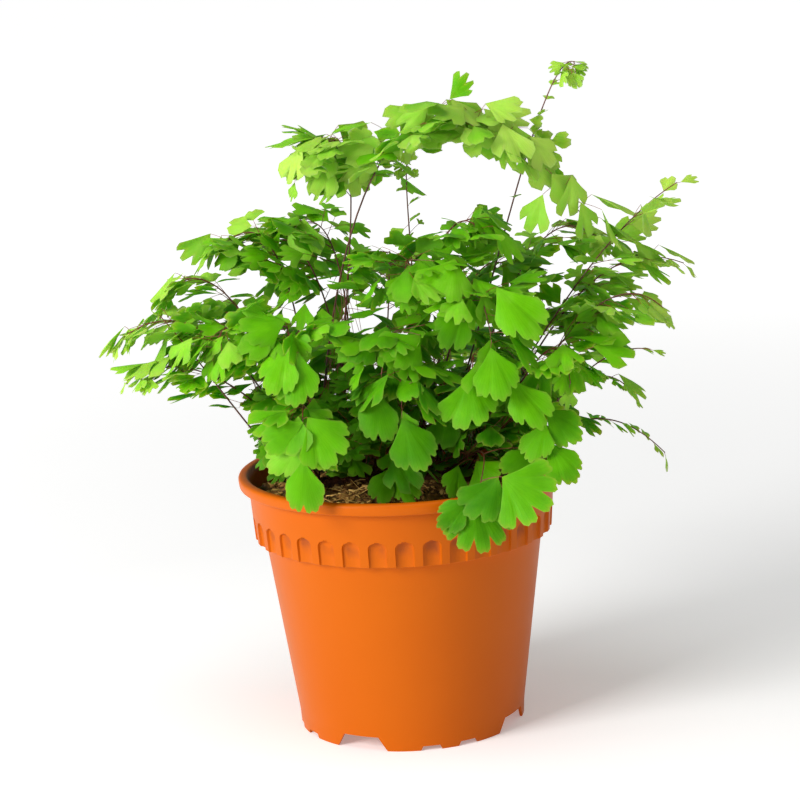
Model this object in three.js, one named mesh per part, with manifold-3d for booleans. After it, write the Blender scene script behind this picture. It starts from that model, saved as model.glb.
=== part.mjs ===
// A maidenhair fern in a moulded plastic pot: pot, potting mix, rhizome and one solid for each frond.
// Millimetres, +Z up. The front of the plant looks along -Y.
import * as THREE from "three";
import { mergeVertices } from "three/addons/utils/BufferGeometryUtils.js";
import Module from "manifold-3d";

const wasm = await Module();
wasm.setup();

// ---------------------------------------------------------------- driving dimensions

const POT_HEIGHT = 136;
const RIM_RADIUS = 85;
const LIP_HEIGHT = 6;
const WALL = 1.6;
const BAND_TOP_RADIUS = 79.6;
const BAND_FOOT_RADIUS = 77.5;
const BAND_FOOT_Z = 102;
const BODY_TOP_RADIUS = 72.3;
const BODY_FOOT_RADIUS = 59.6;
const BASE_UNDERSIDE_Z = 8; // the base plate stands this high on its ring of feet
const POT_SIDES = 36; // one side for each flute

const FLUTE_WIDTH = 9;
const FLUTE_HEIGHT = 13;
const FLUTE_DEPTH = 1.1;
const FLUTE_ARC_STEPS = 3;

const FOOT_WALL = 2;
const FIRST_NOTCH_DEG = -27.5; // from the front, towards +X
const DEEP_NOTCH = { width: 24, height: 7.4 };
const SHALLOW_NOTCH = { width: 10, height: 2.4 };
const SHALLOW_NOTCH_OFFSETS_DEG = [36, 55.5]; // from each deep notch
const DRAIN_HOLES = 6;
const DRAIN_HOLE_RADIUS = 4;
const DRAIN_HOLE_CIRCLE = 40;

const GAP = 0.3; // between pieces that touch
const SOIL_EDGE_Z = 121;
const SOIL_CROWN_RISE = 4; // how much higher the mix stands at the middle
const SOIL_LUMP = 1.3;

const RHIZOME_RADIUS = 5;
const RHIZOME_LINE = [
  [-54, -3, 125],
  [-24, 6, 127],
  [12, 1, 127],
  [48, -4, 125],
];
const RANK_OFFSET = 2.6; // fronds stand in two ranks, this far to each side of the rhizome's line

const STIPE_RADIUS = 0.85;
const BRANCH_RADIUS = 0.6;
const STIPE_SUNK = 4; // how deep a stem stands in the rhizome
const BLADE = 0.6; // thickness of a leaflet
const FROND_CLEARANCE = 0.6; // between two fronds
const SIBLING_CLEARANCE = 0.15; // between two leaflets of one frond
const CLEAR_OF_STEM = 3; // how much of a spray, from its root, may lie in its own frond's stems

const DEG = Math.PI / 180;

// ---------------------------------------------------------------- colours

const finish = (color, roughness) => new THREE.MeshStandardMaterial({ color, roughness, metalness: 0 });
const ORANGE_PLASTIC = finish(0xe8761e, 0.4);
const POTTING_MIX = finish(0x4a3020, 0.95);
const RHIZOME_SCALES = finish(0x2a1810, 0.85);
const FROND_GREEN = finish(0x5aa51e, 0.55);

// ---------------------------------------------------------------- solids

// A three.js geometry as a solid: only positions, shared vertices merged, collapsed triangles dropped.
function solidOf(geometry) {
  const bare = geometry.index ? geometry.toNonIndexed() : geometry.clone();
  bare.deleteAttribute("normal");
  bare.deleteAttribute("uv");
  const merged = mergeVertices(bare, 1e-4);
  const corners = merged.index.array;
  const kept = [];
  for (let i = 0; i < corners.length; i += 3) {
    const [a, b, c] = corners.slice(i, i + 3);
    if (a !== b && b !== c && c !== a) kept.push(a, b, c);
  }
  const mesh = new wasm.Mesh({
    numProp: 3,
    vertProperties: merged.attributes.position.array,
    triVerts: new Uint32Array(kept),
  });
  return new wasm.Manifold(mesh);
}

function geometryOf(solid) {
  const mesh = solid.getMesh();
  return new THREE.BufferGeometry()
    .setAttribute("position", new THREE.BufferAttribute(Float32Array.from(mesh.vertProperties), 3))
    .setIndex(new THREE.BufferAttribute(Uint32Array.from(mesh.triVerts), 1));
}

// A straight-sided tube along a curve, with its ends closed.
function tubeAlong(curve, radius, sides, steps) {
  const section = new THREE.Shape();
  for (let i = 0; i < sides; i++) {
    const turn = (2 * Math.PI * i) / sides;
    const corner = [radius * Math.cos(turn), radius * Math.sin(turn)];
    if (i) section.lineTo(...corner);
    else section.moveTo(...corner);
  }
  return solidOf(new THREE.ExtrudeGeometry(section, { steps, extrudePath: curve, bevelEnabled: false }));
}

// A profile of [radius, height] points turned round the Z axis.
function turned(profile, sides) {
  const points = profile.map(([radius, height]) => new THREE.Vector2(radius, height));
  return solidOf(new THREE.LatheGeometry(points, sides, Math.PI / sides).rotateX(Math.PI / 2));
}

// A block that reaches outwards across a ring, centred at an angle from the front.
function radialBlock(shape, inner, outer, angleDeg) {
  const block = new THREE.ExtrudeGeometry(shape, { depth: outer - inner, bevelEnabled: false });
  block.rotateX(Math.PI / 2);
  block.translate(0, -inner, 0);
  block.rotateZ(angleDeg * DEG);
  return solidOf(block);
}

// ---------------------------------------------------------------- pot

const BODY_TAPER = (BODY_TOP_RADIUS - BODY_FOOT_RADIUS) / (BAND_FOOT_Z - BASE_UNDERSIDE_Z);
const bodyRadiusAt = (z) => BODY_FOOT_RADIUS + BODY_TAPER * (z - BASE_UNDERSIDE_Z);

const POT_FLOOR_Z = BASE_UNDERSIDE_Z + WALL + 0.4;
const SHOULDER_Z = BAND_FOOT_Z - 1; // the body's wall steps out here to carry the band
const LIP_FOOT_Z = POT_HEIGHT - LIP_HEIGHT;

// The inside of the pot, from the middle of its floor up to the rim.
const INNER_PROFILE = [
  [0, POT_FLOOR_Z],
  [bodyRadiusAt(POT_FLOOR_Z) - WALL, POT_FLOOR_Z],
  [BODY_TOP_RADIUS - WALL, SHOULDER_Z + WALL],
  [BAND_FOOT_RADIUS - WALL - 0.9, BAND_FOOT_Z + WALL],
  [BAND_TOP_RADIUS - WALL, POT_HEIGHT - 2],
  [BAND_TOP_RADIUS + 0.6, POT_HEIGHT],
];

const OUTER_PROFILE = [
  [RIM_RADIUS - 1.8, POT_HEIGHT],
  [RIM_RADIUS, POT_HEIGHT - 2],
  [RIM_RADIUS - 0.8, LIP_FOOT_Z],
  [BAND_TOP_RADIUS, LIP_FOOT_Z],
  [BAND_FOOT_RADIUS, BAND_FOOT_Z],
  [BODY_TOP_RADIUS, SHOULDER_Z],
  [BODY_FOOT_RADIUS, BASE_UNDERSIDE_Z],
  [BODY_FOOT_RADIUS - 0.5, 0],
  [BODY_FOOT_RADIUS - FOOT_WALL, 0],
  [BODY_FOOT_RADIUS - FOOT_WALL, BASE_UNDERSIDE_Z],
  [0, BASE_UNDERSIDE_Z],
];

// A flute is an arched recess that runs out through the band's lower edge.
function fluteShape() {
  const half = FLUTE_WIDTH / 2;
  const spring = BAND_FOOT_Z + FLUTE_HEIGHT - half;
  const shape = new THREE.Shape();
  shape.moveTo(-half, BAND_FOOT_Z - 2);
  shape.lineTo(half, BAND_FOOT_Z - 2);
  for (let i = 0; i <= FLUTE_ARC_STEPS; i++) {
    const turn = (Math.PI * i) / FLUTE_ARC_STEPS;
    shape.lineTo(half * Math.cos(turn), spring + half * Math.sin(turn));
  }
  return shape;
}

// A notch is cut up into the ring of feet and is wider at the floor.
function notchShape({ width, height }) {
  const foot = BODY_FOOT_RADIUS * Math.sin((width * DEG) / 2);
  const splay = height * 0.35;
  const shape = new THREE.Shape();
  shape.moveTo(-foot - splay, -1);
  shape.lineTo(foot + splay, -1);
  shape.lineTo(foot - splay, height);
  shape.lineTo(-foot + splay, height);
  return shape;
}

function pot() {
  const walls = [...INNER_PROFILE, ...OUTER_PROFILE].reverse();
  const cuts = [];
  for (let i = 0; i < POT_SIDES; i++) {
    const angle = (360 / POT_SIDES) * i;
    const face = (BAND_FOOT_RADIUS + BAND_TOP_RADIUS) / 2;
    cuts.push(radialBlock(fluteShape(), face - FLUTE_DEPTH - 0.5, RIM_RADIUS + 2, angle));
  }
  const ringInner = BODY_FOOT_RADIUS - FOOT_WALL - 8;
  const ringOuter = BODY_FOOT_RADIUS + 4;
  for (let quarter = 0; quarter < 4; quarter++) {
    const notch = FIRST_NOTCH_DEG + 90 * quarter;
    cuts.push(radialBlock(notchShape(DEEP_NOTCH), ringInner, ringOuter, notch));
    for (const offset of SHALLOW_NOTCH_OFFSETS_DEG) {
      cuts.push(radialBlock(notchShape(SHALLOW_NOTCH), ringInner, ringOuter, notch + offset));
    }
  }
  for (let i = 0; i < DRAIN_HOLES; i++) {
    const turn = (2 * Math.PI * i) / DRAIN_HOLES;
    const hole = new THREE.CylinderGeometry(DRAIN_HOLE_RADIUS, DRAIN_HOLE_RADIUS, 8, 6).rotateX(Math.PI / 2);
    hole.translate(DRAIN_HOLE_CIRCLE * Math.cos(turn), DRAIN_HOLE_CIRCLE * Math.sin(turn), POT_FLOOR_Z - 1);
    cuts.push(solidOf(hole));
  }
  return turned(walls, POT_SIDES).subtract(wasm.Manifold.union(cuts));
}

// ---------------------------------------------------------------- rhizome and potting mix

const rhizomeLine = new THREE.CatmullRomCurve3(RHIZOME_LINE.map((p) => new THREE.Vector3(...p)));
const RHIZOME_SIDES = 6;
const RHIZOME_STEPS = 8;

function rhizomeTube(radius) {
  return tubeAlong(rhizomeLine, radius, RHIZOME_SIDES, RHIZOME_STEPS);
}

// Height of the mix: a low mound with lumps of bark and moss.
function soilTop(x, y) {
  const edge = BAND_TOP_RADIUS - WALL;
  const mound = 1 - (x * x + y * y) / (edge * edge);
  const lumps = Math.sin(x * 0.21 + 1.3) * Math.cos(y * 0.24) + 0.6 * Math.sin(x * 0.47 - y * 0.39);
  return SOIL_EDGE_Z + SOIL_CROWN_RISE * mound + SOIL_LUMP * lumps;
}

const SOIL_SIDES = 20;
const INNER_FLAT = Math.cos(Math.PI / POT_SIDES); // how near the flats of the pot's inside come to its axis

function pottingMix() {
  const [, floor, shoulder, bandFoot, bandTop] = INNER_PROFILE;
  const climb = (SOIL_EDGE_Z - 2 * SOIL_LUMP - bandFoot[1]) / (bandTop[1] - bandFoot[1]);
  const inside = (radius) => radius * INNER_FLAT - GAP - 0.1;
  const edge = inside(bandFoot[0] + (bandTop[0] - bandFoot[0]) * climb);
  const walls = [floor, shoulder, bandFoot].map(([radius, z]) => [inside(radius), z + GAP]);
  const rings = [1, 0.7, 0.35].map((share) => [edge * share, SOIL_EDGE_Z]);
  const profile = [[0, POT_FLOOR_Z + GAP], ...walls, ...rings, [0, SOIL_EDGE_Z]];
  const points = profile.map(([radius, z]) => new THREE.Vector2(radius, z));
  const mound = new THREE.LatheGeometry(points, SOIL_SIDES).rotateX(Math.PI / 2);
  const position = mound.attributes.position;
  for (let i = 0; i < position.count; i++) {
    if (position.getZ(i) < SOIL_EDGE_Z - 0.01) continue;
    position.setZ(i, soilTop(position.getX(i), position.getY(i)));
  }
  const ends = [0, 1].map((t) => {
    const end = new THREE.SphereGeometry(RHIZOME_RADIUS + 4 * GAP, 8, 6);
    return solidOf(end.translate(...rhizomeLine.getPoint(t)));
  });
  return solidOf(mound).subtract(wasm.Manifold.union([rhizomeTube(RHIZOME_RADIUS + GAP), ...ends]));
}

// ---------------------------------------------------------------- fronds

// Each frond's stem is one arc: from the rhizome by way of rise and arch to tip, as a cubic Bezier.
// leafy: where along it the leaflets begin; nodes: how many side branches or single leaflets it has;
// reach: the longest side branch; size: a full leaflet's length; fans: the large leaflets of the front,
// each from its root to its outer end; bends: how many straight stretches the stem has.
const FRONT_RANK = [
  {
    name: "front_left", rise: [-48, -24, 184], arch: [-46, -60, 204], tip: [-47, -84, 162],
    leafy: 0.5, nodes: 2, reach: 0, size: 20,
    fans: [
      [[-47, -84, 161], [-51, -89, 136]],
      [[-46, -77, 178], [-67, -80, 171]],
      [[-44, -76, 180], [-26, -84, 164]],
      [[-47, -79, 169], [-63, -84, 154]],
      [[-47, -80, 170], [-31, -88, 156]],
    ],
  },
  {
    name: "left_front", rise: [-54, -22, 190], arch: [-56, -40, 246], tip: [-50, -60, 208],
    leafy: 0.4, nodes: 4, reach: 28, size: 21,
    fans: [
      [[-47, -58, 209], [-47, -72, 187]],
      [[-52, -57, 213], [-66, -70, 196]],
      [[-53, -55, 224], [-72, -61, 217]],
    ],
  },
  {
    name: "center_left", rise: [-6, -20, 196], arch: [4, -44, 246], tip: [-8, -60, 192],
    leafy: 0.4, nodes: 4, reach: 26, size: 20,
    fans: [
      [[-11, -60, 190], [-13, -74, 167]],
      [[-9, -50, 214], [-22, -62, 204]],
      [[13, -55, 214], [1, -68, 201]],
    ],
  },
  {
    name: "center_tall", rise: [2, -28, 180], arch: [3, -52, 226], tip: [2, -66, 177],
    leafy: 0.5, nodes: 2, reach: 0, size: 20,
    fans: [
      [[2, -66, 175], [14, -80, 155]],
      [[2, -58, 193], [-1, -71, 178]],
    ],
  },
  {
    name: "center_front", rise: [33, -20, 212], arch: [40, -44, 268], tip: [48, -66, 210],
    leafy: 0.38, nodes: 4, reach: 28, size: 22,
    fans: [
      [[47, -66, 208], [54, -79, 187]],
      [[51, -62, 237], [64, -76, 213]],
      [[36, -54, 229], [21, -66, 214]],
      [[32, -48, 250], [29, -66, 232]],
    ],
  },
  {
    name: "center_low", rise: [38, -24, 178], arch: [42, -52, 222], tip: [37, -64, 194],
    leafy: 0.5, nodes: 2, reach: 0, size: 20,
    fans: [
      [[36, -64, 194], [40, -78, 173]],
      [[57, -64, 191], [65, -76, 169]],
    ],
  },
  {
    name: "soil_small", rise: [-5, -20, 140], arch: [-4, -38, 156], tip: [-4, -48, 146],
    leafy: 0.9, nodes: 0, reach: 0, size: 12,
    fans: [
      [[-6, -50, 146], [-15, -62, 135]],
      [[-2, -48, 144], [1, -60, 131]],
    ],
  },
  {
    name: "rim_small", rise: [30, -22, 142], arch: [32, -40, 156], tip: [34, -48, 148],
    leafy: 0.8, nodes: 0, reach: 0, size: 12,
    fans: [
      [[29, -50, 146], [22, -62, 136]],
      [[38, -47, 147], [48, -60, 141]],
    ],
  },
  {
    name: "rim_right", rise: [42, -34, 152], arch: [46, -66, 164], tip: [37, -86, 140],
    leafy: 0.9, nodes: 0, reach: 0, size: 16,
    fans: [
      [[36, -88, 137], [40, -97, 115]],
      [[38, -85, 140], [58, -98, 137]],
      [[33, -88, 138], [16, -95, 131]],
      [[66, -58, 154], [50, -74, 148]],
    ],
  },
  {
    name: "front_right", rise: [58, -28, 160], arch: [68, -50, 192], tip: [74, -61, 160],
    leafy: 0.5, nodes: 2, reach: 0, size: 19,
    fans: [
      [[74, -62, 158], [87, -73, 143]],
      [[73, -60, 168], [66, -70, 152]],
      [[73, -58, 174], [90, -64, 162]],
    ],
  },
  {
    name: "left_wire", rise: [-81, -22, 168], arch: [-93, -32, 197], tip: [-118, -38, 230],
    leafy: 0.8, nodes: 2, reach: 0, size: 9,
  },
  {
    name: "left_far_low", rise: [-69, -20, 186], arch: [-107, -32, 214], tip: [-138, -28, 192],
    leafy: 0.5, nodes: 5, reach: 22, size: 15,
  },
  {
    name: "left_mid", rise: [-66, -16, 204], arch: [-84, -36, 243], tip: [-90, -50, 205],
    leafy: 0.4, nodes: 5, reach: 30, size: 20,
  },
  {
    name: "left_far", rise: [-74, -8, 206], arch: [-107, -18, 240], tip: [-141, -20, 211],
    leafy: 0.45, nodes: 6, reach: 28, size: 18,
  },
  {
    name: "center_high", rise: [14, -14, 222], arch: [10, -34, 276], tip: [6, -54, 236],
    leafy: 0.4, nodes: 5, reach: 30, size: 21,
  },
  {
    name: "right_front", rise: [68, -20, 187], arch: [83, -46, 227], tip: [86, -62, 184],
    leafy: 0.4, nodes: 5, reach: 28, size: 20,
  },
  {
    name: "right_wire", rise: [80, -14, 160], arch: [98, -33, 206], tip: [130, -42, 198],
    leafy: 0.6, nodes: 4, reach: 0, size: 12,
  },
  {
    name: "right_mid", rise: [75, -12, 186], arch: [108, -25, 250], tip: [138, -33, 215],
    leafy: 0.42, nodes: 6, reach: 28, size: 18,
  },
];
const BACK_RANK = [
  {
    name: "top_arch", rise: [-36, 0, 225], arch: [0, -10, 420], tip: [106, -24, 252],
    bends: 12, leafy: 0.5, nodes: 9, reach: 30, size: 20,
  },
  {
    name: "top_left", rise: [-24, 6, 245], arch: [3, 4, 356], tip: [-50, -12, 284],
    bends: 9, leafy: 0.5, nodes: 6, reach: 30, size: 18,
  },
  {
    name: "tall_young", rise: [52, 10, 219], arch: [82, 4, 348], tip: [98, 0, 340],
    leafy: 0.5, nodes: 6, reach: 0, size: 10,
  },
  {
    name: "left_up", rise: [-62, 8, 209], arch: [-92, 8, 258], tip: [-116, 0, 232],
    leafy: 0.42, nodes: 6, reach: 28, size: 18,
  },
  {
    name: "left_high", rise: [-43, 20, 222], arch: [-60, 22, 283], tip: [-88, 24, 250],
    leafy: 0.45, nodes: 5, reach: 30, size: 18,
  },
  {
    name: "upper_left", rise: [-18, 18, 232], arch: [-29, 24, 284], tip: [-54, 30, 254],
    leafy: 0.42, nodes: 5, reach: 30, size: 18,
  },
  {
    name: "inner_young", rise: [19, 12, 205], arch: [6, 8, 276], tip: [12, 0, 300],
    leafy: 0.6, nodes: 4, reach: 0, size: 10,
  },
  {
    name: "upper_mid", rise: [15, 10, 231], arch: [30, -10, 288], tip: [50, -34, 256],
    leafy: 0.45, nodes: 5, reach: 30, size: 20,
  },
  {
    name: "upper_right", rise: [56, 22, 217], arch: [80, 24, 279], tip: [112, 20, 244],
    leafy: 0.42, nodes: 6, reach: 30, size: 18,
  },
  {
    name: "right_up", rise: [64, 2, 179], arch: [104, -6, 256], tip: [150, -14, 280],
    leafy: 0.42, nodes: 6, reach: 30, size: 18,
  },
  {
    name: "right_far", rise: [72, 12, 186], arch: [104, 14, 258], tip: [155, 6, 232],
    leafy: 0.45, nodes: 6, reach: 26, size: 17,
  },
  {
    name: "right_low", rise: [76, 4, 156], arch: [102, -4, 200], tip: [123, -12, 168],
    leafy: 0.5, nodes: 4, reach: 0, size: 14,
  },
  {
    name: "right_spray", rise: [82, 12, 146], arch: [106, 16, 172], tip: [142, 10, 130],
    leafy: 0.5, nodes: 5, reach: 0, size: 15,
  },
];

// The fronds behind lean back in two fans, a low wide one and a high narrow one.
const BACK_FANS = [
  {
    name: "back_low", count: 4, out: 108, top: 192, rise: 28,
    leafy: 0.42, nodes: 5, reach: 30, size: 20,
  },
  {
    name: "back_high", count: 3, out: 70, top: 240, rise: 30,
    leafy: 0.45, nodes: 5, reach: 30, size: 19,
  },
];

function backFronds() {
  const rows = [];
  for (const fan of BACK_FANS) {
    for (let i = 0; i < fan.count; i++) {
      const turn = Math.PI * (0.9 - (0.8 * i) / (fan.count - 1)); // from the left round the back to the right
      const out = (share) => [fan.out * share * Math.cos(turn), 8 + fan.out * share * Math.sin(turn)];
      const top = fan.top + 14 * Math.sin(2.4 * i + 1);
      rows.push({
        ...fan,
        name: `${fan.name}_${i + 1}`,
        rise: [...out(0.3), SOIL_EDGE_Z + (top - SOIL_EDGE_Z) * 0.65],
        arch: [...out(0.72), top + fan.rise],
        tip: [...out(1), top - 8],
      });
    }
  }
  return rows;
}

// The same number between 0 and 1 each time for the same seed.
function chance(seed) {
  const turns = Math.sin(seed * 78.233 + 12.9898) * 43758.5453;
  return turns - Math.floor(turns);
}

const vector = (xyz) => new THREE.Vector3(...xyz);
const between = (a, b, share) => a.clone().multiplyScalar(1 - share).addScaledVector(b, share);

// Stems stand along the rhizome, in each rank from left to right.
function rooted(rows, rank) {
  const inOrder = [...rows].sort((a, b) => a.rise[0] - b.rise[0]);
  return inOrder.map((row, i) => {
    const foot = rhizomeLine.getPoint((i + 0.5) / rows.length);
    foot.y += rank * RANK_OFFSET;
    foot.z += RHIZOME_RADIUS * 0.75;
    const stem = new THREE.CubicBezierCurve3(foot, vector(row.rise), vector(row.arch), vector(row.tip));
    return { fans: [], bends: 6, ...row, foot, stem };
  });
}

// A stem is straight between its knots.
const FIRST_KNOT = 0.06;
const stemKnot = ({ stem, bends }, i) => stem.getPoint(FIRST_KNOT + ((1 - FIRST_KNOT) * i) / bends);

function stemPoint(frond, t) {
  const place = Math.min(((t - FIRST_KNOT) / (1 - FIRST_KNOT)) * frond.bends, frond.bends - 0.01);
  const i = Math.floor(place);
  return between(stemKnot(frond, i), stemKnot(frond, i + 1), place - i);
}

// A spray grows in one plane: a stalk with leaflets to either side and one at its end, or only that one.
// Its frame is along from its root and width across it. It leans towards the light, up and outwards.
function sprayFrame(root, direction, facing, seed) {
  const sway = (k) => chance(seed * 7 + k) - 0.5;
  const light = new THREE.Vector3(root.x / 90, root.y / 90 - 0.35, 0.75).normalize();
  const along = direction.clone();
  along.z -= 0.12;
  along.add(new THREE.Vector3(sway(1), sway(2), sway(3)).multiplyScalar(0.25)).normalize();
  const width = new THREE.Vector3().crossVectors(along, between(facing, light, 0.55)).normalize();
  return { root: root.clone(), along, width, twist: 0.4 * sway(4) };
}

// The sprays along a frond's stem, alternately to either side, shorter towards its tip.
function frondSpray(frond, index, i) {
  const share = i / Math.max(1, frond.nodes - 1);
  const t = frond.leafy + (0.97 - frond.leafy) * share;
  const side = i % 2 ? 1 : -1;
  const heading = frond.stem.getPoint(1).sub(frond.foot).setZ(0).normalize();
  const across = new THREE.Vector3(-heading.y, heading.x, 0);
  const forward = frond.stem.getTangent(t);
  const facing = new THREE.Vector3().crossVectors(forward, across).normalize();
  const turned = i === frond.nodes - 1 ? 0.1 : 0.56; // the last one carries on from the stem
  const lean = between(forward, across.clone().multiplyScalar(side), turned).normalize();
  const size = frond.size * (1 - 0.25 * share);
  const reach = frond.reach * Math.pow(1 - share, 0.7);
  const stalk = reach < 0.6 * size ? 0 : reach;
  return { ...sprayFrame(stemPoint(frond, t), lean, facing, index * 100 + i), size, stalk, side };
}

// A large leaflet of the front faces the viewer. Its stalk leaves the stem a little below its root.
function frondFan(frond, [from, to], seed) {
  const root = vector(from);
  const along = vector(to).sub(root);
  const size = along.length();
  along.normalize();
  const width = new THREE.Vector3().crossVectors(along, new THREE.Vector3(0.1, -1, 0.45)).normalize();
  const climb = (point) => point.distanceTo(root) + 0.4 * Math.abs(point.z - root.z);
  let joint = stemPoint(frond, 0.3);
  for (let t = 0.3; t < 0.995; t += 0.01) {
    const point = stemPoint(frond, t);
    if (climb(point) < climb(joint)) joint = point;
  }
  return { joint, root, along, width, size, stalk: 0, side: 1, twist: 0.3 * (chance(seed) - 0.5) };
}

const FAN_HALF_ANGLE = 40 * DEG;
const FAN_SPREAD = 62 * DEG; // between a spray's stalk and the leaflets along it
const STALK_HALF_WIDTH = 0.5;
const SPRAY_STEP = 0.85; // between one leaflet and the next to the other side, for leaflets of length 1

// The outer edge of a fan with lobes, turned clockwise by an angle from +Y about its root.
function fanEdge(x, y, length, turn) {
  const lobes = length > 21 ? 3 : length > 15 ? 2 : 1;
  const edge = [];
  for (let i = 0; i <= 2 * lobes; i++) {
    const angle = FAN_HALF_ANGLE * (1 - i / lobes);
    const atCorner = i === 0 || i === 2 * lobes;
    const notch = i % 2 === 0 ? 0.9 : 1;
    const radius = length * (atCorner ? 0.78 : notch * (1 - 0.08 * (angle / FAN_HALF_ANGLE) ** 2));
    edge.push([x + radius * Math.sin(turn + angle), y + radius * Math.cos(turn + angle)]);
  }
  return edge;
}

// The leaflets along a spray's stalk, from its root up: where each is, and to which side.
function sideLeaflets({ stalk, size, side }) {
  const leaflets = [];
  for (let y = stalk - 0.5 * size; y > 0.3 * size; y -= SPRAY_STEP * size) {
    leaflets.unshift({ y, side: leaflets.length % 2 ? -side : side });
  }
  return leaflets;
}

// Triangles across a ring of points, from its two ends inwards.
function zigzag(ring) {
  const triangles = [];
  let low = 0;
  let high = ring.length - 1;
  while (high - low > 1) {
    triangles.push([ring[low], ring[low + 1], ring[high]]);
    low += 1;
    if (high - low > 1) triangles.push([ring[low], ring[high - 1], ring[high]]);
    high -= 1;
  }
  return triangles;
}

// Triangles between the two sides of a stalk, lists of points from its root up.
function ladder(points, right, left) {
  const height = (rail, i) => (i < rail.length ? points[rail[i]][1] : Infinity);
  const triangles = [];
  let [r, l] = [0, 0];
  while (r < right.length - 1 || l < left.length - 1) {
    if (height(right, r + 1) <= height(left, l + 1)) {
      triangles.push([right[r], right[r + 1], left[l]]);
      r += 1;
    } else {
      triangles.push([right[r], left[l + 1], left[l]]);
      l += 1;
    }
  }
  return triangles;
}

// A spray laid flat: its points, its outline counter-clockwise and the triangles that fill it.
// clearOf leaves that much out at its root.
function spraySheet(spray, clearOf) {
  const { size, stalk } = spray;
  const half = STALK_HALF_WIDTH;
  const points = [];
  const add = ([x, y]) => points.push([x, y]) - 1;
  if (!stalk) {
    const root = clearOf * Math.tan(FAN_HALF_ANGLE);
    const start = clearOf ? [add([root, clearOf])] : [add([0, 0])];
    const ring = [...start, ...fanEdge(0, 0, size, 0).map(add)];
    if (clearOf) ring.push(add([-root, clearOf]));
    return { points, outline: ring, triangles: zigzag(ring) };
  }
  const triangles = [];
  const sides = [1, -1].map((sign) => ({ sign, rail: [add([sign * half, clearOf])], outline: [] }));
  for (const side of sides) side.outline.push(side.rail[0]);
  for (const leaflet of sideLeaflets(spray)) {
    const side = sides.find(({ sign }) => sign === leaflet.side);
    const edge = fanEdge(half, leaflet.y, 0.92 * size, FAN_SPREAD);
    const pairs = [[half, leaflet.y - half], ...edge, [half, leaflet.y + half]];
    const ring = pairs.map(([x, y]) => add([side.sign * x, y]));
    side.rail.push(ring[0], ring[ring.length - 1]);
    side.outline.push(...ring);
    triangles.push(...zigzag(side.sign > 0 ? ring : [...ring].reverse()));
  }
  for (const { sign, rail } of sides) rail.push(add([sign * half, stalk]));
  const [right, left] = sides;
  const ends = [right, left].map(({ rail }) => rail[rail.length - 1]);
  const top = [ends[0], ...fanEdge(0, stalk, size, 0).map(add), ends[1]];
  triangles.push(...zigzag(top), ...ladder(points, right.rail, left.rail));
  return { points, outline: [...right.outline, ...top, ...left.outline.reverse()], triangles };
}

// A spray as a thin arched solid, in its frame, with the same triangles on both faces.
function spraySolid(spray, { twist, droop, swing, scale }, clearOf) {
  const sized = { ...spray, size: spray.size * scale, stalk: spray.stalk * scale };
  const { points, outline, triangles } = spraySheet(sized, clearOf);
  const reach = sized.stalk + sized.size;
  const arch = ([x, y]) => (0.14 * y * y) / reach + (0.12 * x * x) / sized.size;
  const face = (offset) => points.flatMap((point) => [...point, offset - arch(point)]);
  const count = points.length;
  const under = triangles.map(([a, b, c]) => [count + a, count + c, count + b]);
  const rim = outline.flatMap((corner, i) => {
    const next = outline[(i + 1) % outline.length];
    return [
      [corner, count + corner, count + next],
      [corner, count + next, next],
    ];
  });
  const blade = new THREE.BufferGeometry();
  const corners = [...face(BLADE / 2), ...face(-BLADE / 2)];
  blade.setAttribute("position", new THREE.Float32BufferAttribute(corners, 3));
  blade.setIndex([...triangles, ...under, ...rim].flat());
  const normal = new THREE.Vector3().crossVectors(spray.width, spray.along);
  const along = spray.along.clone().applyAxisAngle(spray.width, -droop).applyAxisAngle(normal, swing);
  const width = spray.width.clone().applyAxisAngle(normal, swing).applyAxisAngle(along, spray.twist + twist);
  normal.crossVectors(width, along);
  const frame = new THREE.Matrix4().makeBasis(width, along, normal).setPosition(spray.root);
  return solidOf(blade.applyMatrix4(frame));
}

// A spray takes the first of these poses that keeps it clear of what is there.
const POSES = [
  { twist: 0, droop: 0, swing: 0, scale: 1 },
  { twist: 0.4, droop: 0, swing: 0, scale: 1 },
  { twist: -0.4, droop: 0, swing: 0, scale: 1 },
  { twist: 0, droop: 0.35, swing: 0, scale: 1 },
  { twist: 0, droop: -0.35, swing: 0, scale: 1 },
  { twist: 0, droop: 0, swing: 0.4, scale: 1 },
  { twist: 0, droop: 0, swing: -0.4, scale: 1 },
  { twist: 0.7, droop: 0.25, swing: 0, scale: 0.95 },
  { twist: -0.7, droop: 0.25, swing: 0, scale: 0.95 },
  { twist: 0.3, droop: -0.5, swing: 0.3, scale: 0.9 },
  { twist: -0.3, droop: -0.5, swing: -0.3, scale: 0.9 },
  { twist: 0.3, droop: 0.6, swing: 0, scale: 0.85 },
];

// A curve of straight stretches, one for each step of a tube.
class PolyLine extends THREE.Curve {
  constructor(points) {
    super();
    this.points = points;
  }

  getPoint(t) {
    const place = Math.min(t, 1) * (this.points.length - 1);
    const i = Math.min(Math.floor(place + 1e-9), this.points.length - 2);
    return between(this.points[i], this.points[i + 1], place - i);
  }

  getPointAt(t) {
    return this.getPoint(t);
  }
}

function stemSolid(frond) {
  const start = frond.stem.getTangent(0);
  const points = [-STIPE_SUNK, STIPE_SUNK].map((reach) => frond.foot.clone().addScaledVector(start, reach));
  for (let i = 1; i <= frond.bends; i++) points.push(stemKnot(frond, i));
  return tubeAlong(new PolyLine(points), STIPE_RADIUS, 3, points.length - 1);
}

// The hole that a frond's stem stands in.
function stemHole({ foot, stem }) {
  const start = stem.getTangent(0);
  const ends = [-STIPE_SUNK - GAP, 3 * STIPE_SUNK].map((reach) => foot.clone().addScaledVector(start, reach));
  return tubeAlong(new THREE.LineCurve3(...ends), STIPE_RADIUS + 3 * GAP, 3, 1);
}

// ---------------------------------------------------------------- growth

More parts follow.
